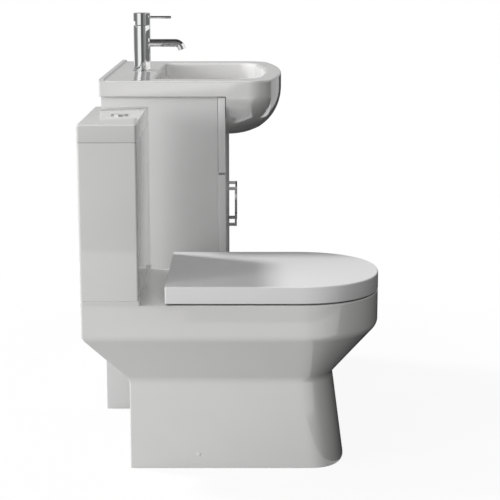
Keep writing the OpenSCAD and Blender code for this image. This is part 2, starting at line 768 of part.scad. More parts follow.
// Cartridge that swivels in the body. Its flattened stem carries the head's tilting pin.
module tap_cartridge() at_vanity() color(chrome)
    translate([0, -tap_d, 0]) {
        translate([0, 0, seam_z - 29.9]) rod(17, 28.7);
        translate([-4, tilt_y - 3.5, seam_z - 2]) cube([8, 7, 14]);
        translate([-12, tilt_y, tap_tilt_z]) rod_x(tilt_r, 24);
    }

// Hollow head with a sloped relief and a notch at the back, so that it can tilt, and a bore
// for the lever.
module tap_head() at_vanity() color(chrome)
    translate([0, -tap_d, 0]) difference() {
        translate([0, 0, seam_z]) rod(tap_r, tap_top - seam_z);
        translate([-4.3, tilt_y - 6.5, seam_z - 1]) cube([8.6, 13, 16]);
        translate([-12.3, tilt_y, tap_tilt_z]) rod_x(tilt_r + fit, 24.6);
        translate([-30, tilt_y + 3, seam_z]) rotate([lever_lift + 1.5, 0, 0]) translate([0, 0, -20])
            cube([60, 20, 20]);
        translate([-30, 17, seam_z - 1]) cube([60, 20, 11]);
        translate([0, -tap_r + 9, lever_z]) rod_out(2.6, 20);
    }

module tap_lever() at_vanity() color(chrome)
    translate([0, -tap_d, lever_z]) {
        translate([0, -tap_r + 9, 0]) rod_out(2.6, 12);
        translate([0, -tap_r, 0]) rod_out(lever_r, lever_tip - tap_r);
        translate([0, -tap_r - 0.1, 0]) rod_out(4.4, 2);
    }

module tap_fixing_stud() at_vanity() color(chrome)
    translate([10, -tap_d, slab_low - 34]) rod(4, basin_top - 5 - slab_low + 34);

// Rubber-faced clamp plate and its nut under the basin.
module tap_fixing_nut() at_vanity() color(chrome)
    translate([0, -tap_d, 0]) {
        translate([0, 0, slab_low + 14]) difference() {
            rod(25, 3);
            translate([10, 0, -1]) rod(4, 6);
            translate([-8, 0, -1]) rod(11, 6);
        }
        translate([10, 0, slab_low + 2]) difference() {
            hexagon(8.5, 12);
            translate([0, 0, -1]) rod(4, 14);
        }
    }

hose_r = 5;
hose_end = 630;
hose_x = -42;
hose_y = 14.4;

// A rod from one point to another, with a small ball at each end.
module rod_between(a, b, r) {
    let (v = b - a, l = norm(v))
        translate(a) rotate([0, acos(v.z / l), atan2(v.y, v.x)]) rod(r, l);
    for (p = [a, b]) translate(p) sphere(r + 0.3);
}

// The hoses spread to one side below the slab, clear of the trap's outlet pipe.
module tap_hoses() at_vanity() color(chrome)
    for (s = [-1, 1]) translate([0, -tap_d, 0]) {
        translate([-8, s * 5.4, slab_low - 45]) rod(hose_r, basin_top - 5 - slab_low + 45);
        rod_between([-8, s * 5.4, slab_low - 45], [hose_x, s * hose_y, hose_end + 70], hose_r);
        translate([hose_x, s * hose_y, hose_end]) {
            translate([0, 0, 24]) rod(hose_r, 46);
            difference() {
                hexagon(13, 16);
                translate([0, 0, -1]) rod(9.5, 12);
            }
            translate([0, 0, 12]) rod(8, 16);
        }
    }

// ---------------------------------------------------------------- cabinet

panel_gap = 4;
base_low = door_low - 24;
fascia_top = slab_low - 3;
front_back = carcass_d + 1;
cabinet_top = slab_low - 0.3;
front_face = front_back + 18;

// Edge of the cut-out, 4 mm outside the belly's section at the front.
function cut_side(s) = [for (i = [len(belly_steps) - 1:-1:0]) let (t = belly_steps[i])
    [s * (min(body_half, belly_half(t)) + 4), slab_low - 4.3 - belly_h * t]];

module panel(x0, x1, d0, d1, z0, z1) {
    translate([x0, -d1, z0]) cube([x1 - x0, d1 - d0, z1 - z0]);
}

// Side panel, a little clear of the wall.
module side_panel() panel(half_cab - panel_t, half_cab, panel_gap, carcass_d, 0, cabinet_top);

module shelf_pin_holes(x, l)
    for (d = [60, 240], z = [shelf_z - 32, shelf_z - 2.5, shelf_z + 27])
        translate([x, -d, z]) rod_x(2.5, l);

shelf_z = 330;
inner = half_cab - panel_t;

module cabinet_side_right() at_vanity() color(board_white) difference() {
    side_panel();
    shelf_pin_holes(inner - 1, 11);
}
module cabinet_side_left() at_vanity() color(board_white) mirror([1, 0, 0]) difference() {
    side_panel();
    shelf_pin_holes(inner - 1, 11);
}
module cabinet_base() at_vanity() color(board_white)
    panel(-inner, inner, panel_gap, carcass_d - 1, base_low + 2, base_low + 20);
module cabinet_back_rails() at_vanity() color(board_white) {
    difference() {
        panel(-inner, inner, panel_gap, panel_gap + panel_t, slab_low - 70, cabinet_top);
        both_sides() translate([bracket_x, 0, bracket_z]) rod_out(3, 60);
    }
    panel(-inner, inner, panel_gap, panel_gap + panel_t, base_low + 20, base_low + 120);
}
module cabinet_front_rail() at_vanity() color(board_white)
    panel(-inner, inner, front_back - 15, front_back, fascia_low, fascia_low + 38);
module cabinet_plinth() at_vanity() color(board_white)
    panel(-inner, inner, carcass_d - 62, carcass_d - 62 + panel_t, 0, base_low + 2);
module cabinet_shelf() at_vanity() color(board_white)
    panel(-inner + 1, inner - 1, panel_gap + 4, carcass_d - 26, shelf_z, shelf_z + 16);
module shelf_pins() at_vanity() color(chrome) both_sides()
    for (d = [60, 240]) translate([inner - 8, -d, shelf_z - 2.5]) rod_x(2.5, 17);

// Fixed front under the basin, cut out where the bowl passes through it.
module cabinet_fascia() at_vanity() color(board_white)
    difference() {
        panel(-half_cab, half_cab, front_back, front_face, fascia_low, fascia_top);
        translate([0, -front_back + 4, 0]) rotate([90, 0, 0]) linear_extrude(26)
            polygon(concat([[-body_half - 4, slab_low + 20]], cut_side(-1),
                [for (i = [len(belly_steps) - 1:-1:0]) cut_side(1)[i]],
                [[body_half + 4, slab_low + 20]]));
    }

bracket_x = inner - 25;
bracket_z = slab_low - 35;

module cabinet_wall_brackets() at_vanity() color(chrome) both_sides()
    difference() {
        union() {
            translate([inner - 40, -panel_gap - panel_t - 2, slab_low - 58]) cube([30, 2, 46]);
            translate([inner - 40, -panel_gap - panel_t - 22, slab_low - 58]) cube([30, 22, 2]);
        }
        translate([bracket_x, 0, bracket_z]) rod_out(3, 60);
    }

// ---------------------------------------------------------------- doors

door_top = fascia_low - 5;
door_gap = 3;
pivot_in = 4;
pivot_d = front_back + 14;
pivot_r = 2.5;
handle_x = 52;
handle_mid = 488;
bar_w = 8;
bar_t = 5.5;
handle_out = 26;

// Plates over and under each door with the pins on which it turns.
module door_pivots() at_vanity() color(chrome) both_sides() {
    translate([half_cab - 40, -pivot_d - 3.5, fascia_low - 2]) cube([39.5, 17, 2]);
    translate([half_cab - pivot_in, -pivot_d, fascia_low - 20]) rod(pivot_r, 19);
    translate([inner - 24, -pivot_d - 3.5, base_low + 20]) cube([23.9, 44, 2]);
    translate([inner - 1, -pivot_d - 3.5, base_low + 20]) cube([panel_t + 0.5, 17, 2]);
    translate([half_cab - pivot_in, -pivot_d, base_low + 21]) rod(pivot_r, 19);
}

module door() difference() {
    panel(door_gap / 2, half_cab, front_back, front_face, door_low, door_top);
    for (z = [door_low - 1, door_top - 20])
        translate([half_cab - pivot_in, -pivot_d, z]) rod(pivot_r + fit, 21);
    for (z = handle_ends)
        translate([handle_x, -front_back + 2, z]) rod_out(2, 30);
}

handle_ends = [handle_mid - handle_h / 2 + bar_w / 2, handle_mid + handle_h / 2 - bar_w / 2];

// Square D handle: two legs, a bar and the screws that hold it through the door.
module handle() {
    translate([handle_x - bar_w / 2, -front_face - handle_out, handle_mid - handle_h / 2])
        cube([bar_w, bar_t, handle_h]);
    for (z = handle_ends) {
        translate([handle_x - bar_w / 2, -front_face - handle_out + 1, z - bar_w / 2])
            cube([bar_w, handle_out - 1, bar_w]);
        translate([handle_x, -front_back + 0.9, z]) rod_out(2, 24);
        translate([handle_x, -front_back + 2, z]) rod_out(4, 1.9);
    }
}

module door_right() at_vanity() color(board_white) door();
module door_left() at_vanity() color(board_white) mirror([1, 0, 0]) door();
module door_handle_right() at_vanity() color(chrome) handle();
module door_handle_left() at_vanity() color(chrome) mirror([1, 0, 0]) handle();

toilet_pan();
pan_floor_brackets();
pan_side_screws();
pan_side_caps();
cistern_tank();
cistern_lid();
coupling_washer();
coupling_bolts();
coupling_nuts();
flush_bezel();
flush_button_half();
flush_button_full();
flush_rod_half();
flush_rod_full();
flush_valve_cage();
flush_valve_riser();
flush_valve_seal();
flush_valve_backnut();
fill_valve();
fill_valve_float();
fill_valve_backnut();
seat_hinge_posts();
seat_hinge_pins();
seat_ring();
seat_ring_bumpers();
seat_lid();
seat_lid_bumpers();
basin();
overflow_ring();
basin_waste();
waste_plug();
waste_washer();
waste_nut();
bottle_trap();
trap_cup();
trap_outlet_pipe();
tap_body();
tap_base_ring();
tap_cartridge();
tap_head();
tap_lever();
tap_aerator();
tap_fixing_stud();
tap_fixing_nut();
tap_hoses();
cabinet_side_left();
cabinet_side_right();
cabinet_base();
cabinet_back_rails();
cabinet_front_rail();
cabinet_plinth();
cabinet_shelf();
shelf_pins();
cabinet_fascia();
cabinet_wall_brackets();
door_pivots();
door_left();
door_right();
door_handle_left();
door_handle_right();
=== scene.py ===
"""Toilet and basin combination unit: smooth ceramic, seat, tap and fronts around the CAD frame."""
import json
import math

import bpy
from mathutils import Matrix, Vector


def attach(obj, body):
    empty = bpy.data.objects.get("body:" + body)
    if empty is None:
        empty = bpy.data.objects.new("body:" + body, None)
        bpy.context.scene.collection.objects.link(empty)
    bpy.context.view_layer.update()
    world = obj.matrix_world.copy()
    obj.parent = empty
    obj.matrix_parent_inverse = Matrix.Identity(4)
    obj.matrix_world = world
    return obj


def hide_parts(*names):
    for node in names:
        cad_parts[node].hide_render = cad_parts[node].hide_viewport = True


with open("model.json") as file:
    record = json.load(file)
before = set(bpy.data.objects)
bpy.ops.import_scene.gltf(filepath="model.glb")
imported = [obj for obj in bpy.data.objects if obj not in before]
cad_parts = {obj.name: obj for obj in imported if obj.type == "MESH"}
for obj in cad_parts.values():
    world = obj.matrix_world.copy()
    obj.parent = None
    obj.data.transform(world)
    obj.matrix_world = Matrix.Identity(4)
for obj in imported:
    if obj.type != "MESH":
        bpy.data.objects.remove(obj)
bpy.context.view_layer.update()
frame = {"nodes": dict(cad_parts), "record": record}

# ------------------------------------------------------------------ places (m)
# All other sizes and places are in millimetres, until the stage. Distances are taken from the wall.

WALL = 0.3375
TOILET_X = -0.388
BASIN_X = 0.239
MM = 0.001


def point(p, cx):
    """A point in millimetres, with y = -(distance from the wall), in the row frame."""
    return (cx + p[0] * MM, WALL + p[1] * MM, p[2] * MM)


# ------------------------------------------------------------------ mesh helpers

def new_object(name, verts, faces):
    """Object from points in metres."""
    mesh = bpy.data.meshes.new(name)
    mesh.from_pydata(verts, [], faces)
    mesh.update()
    obj = bpy.data.objects.new(name, mesh)
    bpy.context.scene.collection.objects.link(obj)
    return obj


def skin(name, rings, cx, closed=False):
    """Solid skinned over rings with the same number of points, with the material inside going up."""
    n, count = len(rings[0]), len(rings)
    verts = [point(q, cx) for r in rings for q in r]
    faces = []
    for k in range(count if closed else count - 1):
        a, b = k * n, ((k + 1) % count) * n
        for i in range(n):
            j = (i + 1) % n
            faces.append((a + i, a + j, b + j, b + i))
    if not closed:
        faces.append(tuple(range(n - 1, -1, -1)))
        faces.append(tuple((count - 1) * n + i for i in range(n)))
    return new_object(name, verts, faces)


def lathe(name, profile, cx, d, axis="z", steps=96, at=0.0):
    """Solid of revolution from (radius, height) pairs, listed from the bottom to the top.

    Its axis is upright, or points out from the wall at the height called at."""
    rings = []
    for r, h in profile:
        ring = []
        for i in range(steps):
            a = 2 * math.pi * i / steps
            u, v = r * math.cos(a), r * math.sin(a)
            ring.append((u, -d + v, h) if axis == "z" else (u, -d - h, at + v))
        rings.append(ring)
    obj = skin(name, rings, cx)
    if axis == "out":
        obj.data.flip_normals()
    return obj


def rod(name, start, end, r, cx, steps=64):
    """Cylinder between two points, with y = -(distance)."""
    a, b = Vector(start), Vector(end)
    way = (b - a).normalized()
    side = way.orthogonal().normalized()
    up = way.cross(side)
    rings = []
    for q in (a, b):
        rings.append([tuple(q + side * r * math.cos(2 * math.pi * i / steps)
                            + up * r * math.sin(2 * math.pi * i / steps))
                      for i in range(steps)])
    return skin(name, rings, cx)


def hole(x, d, low, high, r, cx, steps=64):
    """Cutter for an upright round hole."""
    return rod("cutter", (x, -d, low), (x, -d, high), r, cx, steps)


def evaluated(obj):
    """Applies the object's modifiers."""
    graph = bpy.context.evaluated_depsgraph_get()
    mesh = bpy.data.meshes.new_from_object(obj.evaluated_get(graph))
    old = obj.data
    obj.modifiers.clear()
    obj.data = mesh
    bpy.data.meshes.remove(old)
    mesh.name = obj.name


def combine(obj, others, operation="DIFFERENCE"):
    """Cuts the others from the object or joins them to it, and removes them."""
    for other in others:
        mod = obj.modifiers.new("boolean", "BOOLEAN")
        mod.operation = operation
        mod.solver = "EXACT"
        mod.object = other
        evaluated(obj)
        bpy.data.objects.remove(other)
    return obj


def smooth(obj, angle):
    """Smooth shading, with edges over the angle kept sharp."""
    obj.data.polygons.foreach_set("use_smooth", [True] * len(obj.data.polygons))
    obj.data.set_sharp_from_angle(angle=math.radians(angle))


def block(name, lo, hi, cx, bevel=0.0):
    """Box between two corners given as (x, distance, z), with rounded edges."""
    (x0, d0, z0), (x1, d1, z1) = lo, hi
    corners = [(x, -d, z) for z in (z0, z1) for d in (d1, d0) for x in (x0, x1)]
    faces = [(0, 2, 3, 1), (4, 5, 7, 6), (0, 1, 5, 4), (1, 3, 7, 5), (3, 2, 6, 7), (2, 0, 4, 6)]
    obj = new_object(name, [point(q, cx) for q in corners], faces)
    if bevel:
        mod = obj.modifiers.new("bevel", "BEVEL")
        mod.width = bevel * MM
        mod.segments = 3
        evaluated(obj)
    return obj


def fillet(rows, reach, steps=8, support=0.02):
    """Rows of sizes with each inner row replaced by a smooth bend.

    reach[i] is the share of the segment before and after row i that the bend takes up."""
    out = [rows[0]]
    for i in range(1, len(rows) - 1):
        before, after = reach[i]
        a = mixed(rows[i], rows[i - 1], before)
        c = mixed(rows[i], rows[i + 1], after)
        out.append(mixed(a, rows[i - 1], support))
        for k in range(steps + 1):
            t = k / steps
            out.append(mixed(mixed(a, rows[i], t), mixed(rows[i], c, t), t))
        out.append(mixed(c, rows[i + 1], support))
    out.append(rows[-1])
    return out


def mixed(a, b, t):
    """Sizes at the share t of the way from a to b."""
    return [u + (v - u) * t for u, v in zip(a, b)]


def spline(rows, steps):
    """Catmull-Rom curve through rows of sizes."""
    out = []
    for i in range(len(rows) - 1):
        p0, p1 = rows[max(i - 1, 0)], rows[i]
        p2, p3 = rows[i + 1], rows[min(i + 2, len(rows) - 1)]
        for k in range(steps):
            t = k / steps
            out.append([
                0.5 * (2 * b + (c - a) * t + (2 * a - 5 * b + 4 * c - d) * t * t
                       + (3 * b - a - 3 * c + d) * t ** 3)
                for a, b, c, d in zip(p0, p1, p2, p3)])
    out.append(rows[-1])
    return out


def quarter(inset0, z0, inset1, z1, steps=6, first="side"):
    """Quarter of an ellipse between two (inset, z) points. first says which way it starts."""
    out = []
    for k in range(steps + 1):
        a = math.pi / 2 * k / steps
        if first == "side":
            out.append((inset0 + (inset1 - inset0) * (1 - math.cos(a)), z0 + (z1 - z0) * math.sin(a)))
        else:
            out.append((inset0 + (inset1 - inset0) * math.sin(a), z0 + (z1 - z0) * (1 - math.cos(a))))
    return out


# ------------------------------------------------------------------ plans

CORNER, NOSE = 8, 96        # steps in a corner and around a nose


def power(v, p):
    """Power that keeps the sign."""
    return math.copysign(abs(v) ** p, v)


def arc(cx, cy, r, a0, a1, n):
    """Points on a round corner, between two angles in degrees."""
    return [(cx + r * math.cos(math.radians(a0 + (a1 - a0) * i / n)),
             cy + r * math.sin(math.radians(a0 + (a1 - a0) * i / n))) for i in range(n + 1)]


def d_plan(w, b, f, nose, rc, z, p=2.1):
    """D-shaped plan: straight back with small corners, straight sides and a round nose.

    w is the half width, b and f are the distances of the back and front, nose is the nose's depth,
    rc the back corners' radius and p the nose's power, where 2 is an ellipse."""
    pts = arc(w - rc, -b - rc, rc, 0, 90, CORNER) + arc(-w + rc, -b - rc, rc, 90, 180, CORNER)
    for i in range(NOSE + 1):
        a = math.pi + math.pi * i / NOSE
        pts.append((w * power(math.cos(a), 2 / p), -(f - nose) + nose * power(math.sin(a), 2 / p)))
    return [(x, y, z) for x, y in pts]


def step_plan(w_back, w, b, step, f, rf, rc, lip, z, bow=0.0):
    """Plan with a narrow back part and a wide front part that starts at the distance step.

    rf holds the width and depth of the front corners, rc is the back corners' radius, and lip is how
    far the step slants back. The front is bowed: it curves back by bow from its middle to the sides."""
    half = NOSE // 2
    pts = arc(w_back - rc, -b - rc, rc, 0, 90, CORNER)
    pts += arc(-w_back + rc, -b - rc, rc, 90, 180, CORNER)
    pts += [(-w_back, -step + lip), (-w, -step)]
    front = []
    for i in range(half + 1):
        a = math.radians(180 + 90 * i / half)
        front.append((-w + rf[0] + rf[0] * math.cos(a), -f + rf[1] + rf[1] * math.sin(a)))
    front += [((w - rf[0]) * (2 * i / half - 1), -f) for i in range(1, half)]
    for i in range(half + 1):
        a = math.radians(270 + 90 * i / half)
        front.append((w - rf[0] + rf[0] * math.cos(a), -f + rf[1] + rf[1] * math.sin(a)))
    pts += [(x, y + bow * (x / w) ** 2) for x, y in front]
    pts += [(w, -step), (w_back, -step + lip)]
    return [(x, y, z) for x, y in pts]


def box_plan(w, b, f, r, z):
    """Rectangle with round corners, from its half width, back, front and radius."""
    pts = (arc(w - r, -b - r, r, 0, 90, CORNER) + arc(-w + r, -b - r, r, 90, 180, CORNER)
           + arc(-w + r, -f + r, r, 180, 270, CORNER) + arc(w - r, -f + r, r, 270, 360, CORNER))
    return [(x, y, z) for x, y in pts]


# ------------------------------------------------------------------ materials

def nodes_of(name):
    """A new material with its node tree and its shader."""
    mat = bpy.data.materials.new(name)
    mat.use_nodes = True
    tree = mat.node_tree
    return mat, tree, tree.nodes["Principled BSDF"]


def noise(tree, scale, detail=4.0, rough=0.5, stretch=None):
    """Noise in the object's own space."""
    coords = tree.nodes.new("ShaderNodeTexCoord")
    tex = tree.nodes.new("ShaderNodeTexNoise")
    tex.inputs["Scale"].default_value = scale
    tex.inputs["Detail"].default_value = detail
    tex.inputs["Roughness"].default_value = rough
    if stretch:
        mapping = tree.nodes.new("ShaderNodeMapping")
        mapping.inputs["Scale"].default_value = stretch
        tree.links.new(coords.outputs["Object"], mapping.inputs["Vector"])
        tree.links.new(mapping.outputs["Vector"], tex.inputs["Vector"])
    else:
        tree.links.new(coords.outputs["Object"], tex.inputs["Vector"])
    return tex.outputs["Fac"]


SPREAD = (0.3, 0.7)         # the part of a noise's values that a ramp spans


def ramp(tree, value, low, high):
    """Colour between two colours by a noise's value."""
    node = tree.nodes.new("ShaderNodeValToRGB")
    node.color_ramp.elements[0].position = SPREAD[0]
    node.color_ramp.elements[1].position = SPREAD[1]
    node.color_ramp.elements[0].color = (*low, 1)
    node.color_ramp.elements[1].color = (*high, 1)
    tree.links.new(value, node.inputs["Fac"])
    return node.outputs["Color"]


def ranged(tree, value, low, high, start=SPREAD[0], end=SPREAD[1], kind="LINEAR"):
    """Number from low to high as a value goes from start to end."""
    node = tree.nodes.new("ShaderNodeMapRange")
    node.interpolation_type = kind
    node.inputs["From Min"].default_value = start
    node.inputs["From Max"].default_value = end
    node.inputs["To Min"].default_value = low
    node.inputs["To Max"].default_value = high
    tree.links.new(value, node.inputs["Value"])
    return node.outputs["Result"]


def bump(tree, shader, value, strength, distance):
    """Relief on a shader. The distance is in metres."""
    node = tree.nodes.new("ShaderNodeBump")
    node.inputs["Strength"].default_value = strength
    node.inputs["Distance"].default_value = distance
    tree.links.new(value, node.inputs["Height"])
    tree.links.new(node.outputs["Normal"], shader.inputs["Normal"])


def ceramic_material(name, low, high):
    """Glazed ceramic: a glossy coat over a slightly wavy, slightly uneven white."""
    mat, tree, shader = nodes_of(name)
    tree.links.new(ramp(tree, noise(tree, 5, 3), low, high), shader.inputs["Base Color"])
    tree.links.new(ranged(tree, noise(tree, 60, 4), 0.07, 0.11), shader.inputs["Roughness"])
    shader.inputs["IOR"].default_value = 1.52
    shader.inputs["Coat Weight"].default_value = 0.5
    shader.inputs["Coat Roughness"].default_value = 0.03
    bump(tree, shader, noise(tree, 38, 2), 0.10, 0.0004)
    return mat


def satin_material(name, low, high, rough, grain, strength):
    """Plastic, lacquer or rubber with a fine grain."""
    mat, tree, shader = nodes_of(name)
    tree.links.new(ramp(tree, noise(tree, 6, 4), low, high), shader.inputs["Base Color"])
    tree.links.new(ranged(tree, noise(tree, 90, 5), rough - 0.04, rough + 0.04),
                   shader.inputs["Roughness"])
    bump(tree, shader, noise(tree, grain, 3), strength, 0.0002)
    return mat


def metal_material(name, color, rough, brushed=None):
    """Polished metal, or brushed where a stretch for the noise is given."""
    mat, tree, shader = nodes_of(name)
    tree.links.new(ramp(tree, noise(tree, 30, 4), [c * 0.965 for c in color], color),
                   shader.inputs["Base Color"])
    shader.inputs["Metallic"].default_value = 1.0
    value = noise(tree, 220, 5, 0.6, brushed)
    tree.links.new(ranged(tree, value, rough * 0.75, rough * 1.3), shader.inputs["Roughness"])
    bump(tree, shader, value, 0.04, 0.0001)
    return mat


GLAZE = ceramic_material("glaze", (0.775, 0.772, 0.762), (0.80, 0.798, 0.79))
SEAT = satin_material("seat", (0.845, 0.845, 0.847), (0.865, 0.865, 0.867), 0.36, 140, 0.05)
BOARD = satin_material("board", (0.79, 0.79, 0.787), (0.812, 0.812, 0.81), 0.34, 300, 0.08)
CHROME = metal_material("chrome", (0.86, 0.865, 0.87), 0.035)
ZINC = metal_material("zinc", (0.62, 0.63, 0.65), 0.28, (1, 1, 6))
BRAID = metal_material("braid", (0.55, 0.56, 0.57), 0.35, (1, 1, 14))
PLASTIC = satin_material("moulded", (0.86, 0.86, 0.84), (0.89, 0.89, 0.87), 0.36, 260, 0.10)
RUBBER = satin_material("rubber", (0.035, 0.035, 0.036), (0.055, 0.055, 0.056), 0.6, 300, 0.3)
SLOTS = {"white_ceramic": GLAZE, "seat_white": SEAT, "painted_board": BOARD,
         "polished_chrome": CHROME, "plated_steel": ZINC, "braided_steel": BRAID,
         "white_plastic": PLASTIC, "rubber_grey": RUBBER}
NODE_SLOT = {s["node"]: s["material_slot"] for s in frame["record"]["subparts"]}
NODE_BODY = {n: b for b, ns in frame["record"]["behaviour"]["bodies"].items() for n in ns}

for node, obj in frame["nodes"].items():
    obj.data.materials.clear()
    obj.data.materials.append(SLOTS[NODE_SLOT[node]])


def finish_piece(obj, node, angle=30, more=()):
    """Smooths a piece, gives it its slot's material, and puts it in the place of its CAD node.

    more names further nodes that the piece also stands for."""
    smooth(obj, angle)
    obj.data.materials.clear()
    obj.data.materials.append(SLOTS[NODE_SLOT[node]])
    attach(obj, NODE_BODY[node])
    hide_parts(node, *more)
    return obj


# ------------------------------------------------------------------ toilet pan

HALF_W, PAN_D, PAN_NOSE = 191, 675, 186
RIM, RIM_R, SHELF = 399, 3, 409
FOOT_HALF, FOOT_BACK, FOOT_D, FOOT_NOSE = 138, 101, 597, 90
WAIST_Z, CREASE_Z = 210, 321
FOOT_POWER, RIM_POWER = 2.6, 2.1
CISTERN_D, FLUSH_D = 130, 78
HINGE_X, HINGE_D, HINGE_Z = 78, 196, 417
COUPLING_X = 84
INLET_X, INLET_D = -130, 45
SCREW_D, SCREW_Z = 258, 33
SPIGOT_Z, SPIGOT_R, SPIGOT_END = 185, 51, 103
ABOVE_SHELF = 420
SERVICE_X, SERVICE_D, SERVICE_TOP = 112, 190, 319
HOLLOW_BACK, HOLLOW_FRONT, HOLLOW_TOP = 220, 480, 117
OPEN_BACK_D = 126
FIXING_BORE, INLET_ROOM = 6, 14
FLUSH_THROAT, WASHER_SEAT, JET_BORE, TRAP_BORE, SPIGOT_BORE = 27, 48, 16, 26, 44


def pan_outside():
    """Rows from the floor to the rim.

    A row is half width, back, front, depth of the nose, radius of the back corners, height and, where
    it isn't the usual one, the power of the nose."""
    foot = [FOOT_HALF, FOOT_BACK, FOOT_D, FOOT_NOSE, 3, 0, FOOT_POWER]
    waist = [130, FOOT_BACK, 569, FOOT_NOSE, 3, WAIST_Z, FOOT_POWER]
    crease = [HALF_W, 0, PAN_D, PAN_NOSE, 5, CREASE_Z, RIM_POWER]
    rim = [HALF_W, 0, PAN_D, PAN_NOSE, 5, RIM - RIM_R, RIM_POWER]
    shell = fillet([foot, waist, crease, rim], [None, (0.05, 0.08), (0.07, 0.12), None], 14, 0.01)
    heel = [[FOOT_HALF - i, FOOT_BACK + i, FOOT_D - i, FOOT_NOSE - i, 3, z, FOOT_POWER]
            for i, z in quarter(1.5, 0, 0, 1.5, 4, "top")]
    edge = [[HALF_W - i, i, PAN_D - i, PAN_NOSE - i * 0.3, 5, z]
            for i, z in quarter(0, RIM - RIM_R, RIM_R, RIM)]
    return heel + shell[1:-1] + edge


def pan_bowl():
    """Rows from the deck over the lip and down to the sump, in the same form."""
    deck = [[HALF_W - 6, 6, PAN_D - 6, PAN_NOSE - 2, 5, RIM], [136, 284, 652, 156, 60, RIM]]
    lip = [[134 - i, 286 + i, 650 - i, 156 - i, 60, z]
           for i, z in quarter(0, RIM, 9, RIM - 7, 7, "top")]
    bowl = spline([
        [123, 297, 639, 146, 60, RIM - 14],
        [120, 300, 636, 145, 60, RIM - 48],
        [112, 312, 622, 138, 56, RIM - 95],
        [92, 336, 584, 122, 46, RIM - 140],
        [66, 350, 524, 88, 34, RIM - 180],
        [44, 358, 470, 56, 24, RIM - 222],
        [34, 364, 440, 40, 20, RIM - 250],
        [20, 376, 424, 24, 14, RIM - 258]], 5)
    return deck + lip + bowl


def pan_pad():
    """Raised shelf that carries the cistern."""
    edge = [(2, RIM - 20), (0, RIM - 18)] + quarter(0, SHELF - 1, 1, SHELF, 4)
    return skin("pad", [box_plan(HALF_W - i, i, CISTERN_D + 3 - i, 5, z) for i, z in edge], TOILET_X)


def pan_hollows():
    """Cutters for the service space, the hollow foot, the open back and the fixings' holes."""
    half = [(SERVICE_X, -1), (SERVICE_X, 212), (171, 322), (174, 386), (52, 386), (52, 318)]
    open_back = half + [(-x, z) for x, z in reversed(half)]
    cuts = [block("cutter", (-SERVICE_X, -1, -1), (SERVICE_X, SERVICE_D, SERVICE_TOP), TOILET_X),
            block("cutter", (-SERVICE_X, HOLLOW_BACK, -1), (SERVICE_X, HOLLOW_FRONT, HOLLOW_TOP),
                  TOILET_X),
            skin("cutter", [[(x, -d, z) for x, z in open_back] for d in (-1, OPEN_BACK_D)], TOILET_X)]
    for s in (-1, 1):
        cuts.append(rod("cutter", (s * 100, -SCREW_D, SCREW_Z), (s * 160, -SCREW_D, SCREW_Z), 5,
                        TOILET_X, 32))
        cuts.append(hole(s * COUPLING_X, FLUSH_D, 360, ABOVE_SHELF, FIXING_BORE, TOILET_X, 32))
        cuts.append(hole(s * HINGE_X, HINGE_D, 357, ABOVE_SHELF, FIXING_BORE, TOILET_X, 32))
    cuts.append(hole(INLET_X, INLET_D, 360, ABOVE_SHELF, INLET_ROOM, TOILET_X, 48))
    return cuts


def pan_passages():
    """Cutters for the flush throat, the way on into the bowl, the trap and the spigot's bore."""
    return [
        hole(0, FLUSH_D, 343, ABOVE_SHELF + 5, FLUSH_THROAT, TOILET_X),
        hole(0, FLUSH_D, 394, ABOVE_SHELF + 5, WASHER_SEAT, TOILET_X),
        rod("cutter", (0, 20 - FLUSH_D, 363), (0, -322, 363), JET_BORE, TOILET_X),
        rod("cutter", (0, -392, 164), (0, -281, 228), TRAP_BORE - 1, TOILET_X),
        rod("cutter", (0, -300, 226), (0, -210, 193), TRAP_BORE, TOILET_X),
        rod("cutter", (0, -225, SPIGOT_Z), (0, -65, SPIGOT_Z), SPIGOT_BORE, TOILET_X, 96)]


def make_pan():
    pan = skin("pan", [d_plan(*row) for row in pan_outside() + pan_bowl()], TOILET_X)
    combine(pan, [pan_pad()], "UNION")
    combine(pan, pan_hollows())
    combine(pan, [rod("spigot", (0, -201, SPIGOT_Z), (0, -SPIGOT_END, SPIGOT_Z), SPIGOT_R, TOILET_X,
                      96)], "UNION")
    return combine(pan, pan_passages())


finish_piece(make_pan(), "toilet_pan", 35)


# ------------------------------------------------------------------ cistern

TANK_TOP, LID_TOP = 762, 801
TANK_WALL, TANK_R = 9, 5.5
FLUSH_BORE, BUTTON_BORE, INLET_BORE, BOLT_BORE, SCREW_BORE = 26, 19, 10.6, 5, 4


def box_loft(name, rows):
    """Solid of the toilet from rows of half width, back, front, corner radius and height."""
    return skin(name, [box_plan(*row) for row in rows], TOILET_X)


def make_tank():
    top = TANK_TOP - 0.6
    outside = quarter(1.2, SHELF, 0, SHELF + 1.2, 4, "top") + quarter(0, top - 1.2, 1.2, top, 4)
    tank = box_loft("tank", [(HALF_W - i, i, CISTERN_D - i, max(TANK_R - i, 2), z)
                             for i, z in outside])
    floor_z = SHELF + 10
    inside = [(HALF_W - TANK_WALL - i, TANK_WALL + i, CISTERN_D - TANK_WALL - i, 9, z)
              for i, z in quarter(8, floor_z, 0, floor_z + 8, 5, "top") + [(0, TANK_TOP + 1)]]
    low, high = SHELF - 9, floor_z + 16
    cuts = [box_loft("cutter", inside),
            hole(0, FLUSH_D, low, high, FLUSH_BORE, TOILET_X),
            hole(INLET_X, INLET_D, low, high, INLET_BORE, TOILET_X)]
    for s in (-1, 1):
        cuts.append(hole(s * COUPLING_X, FLUSH_D, low, high, BOLT_BORE, TOILET_X))
        cuts.append(rod("cutter", (s * 150, 1, 700), (s * 150, -14, 700), SCREW_BORE, TOILET_X))
    return combine(tank, cuts)


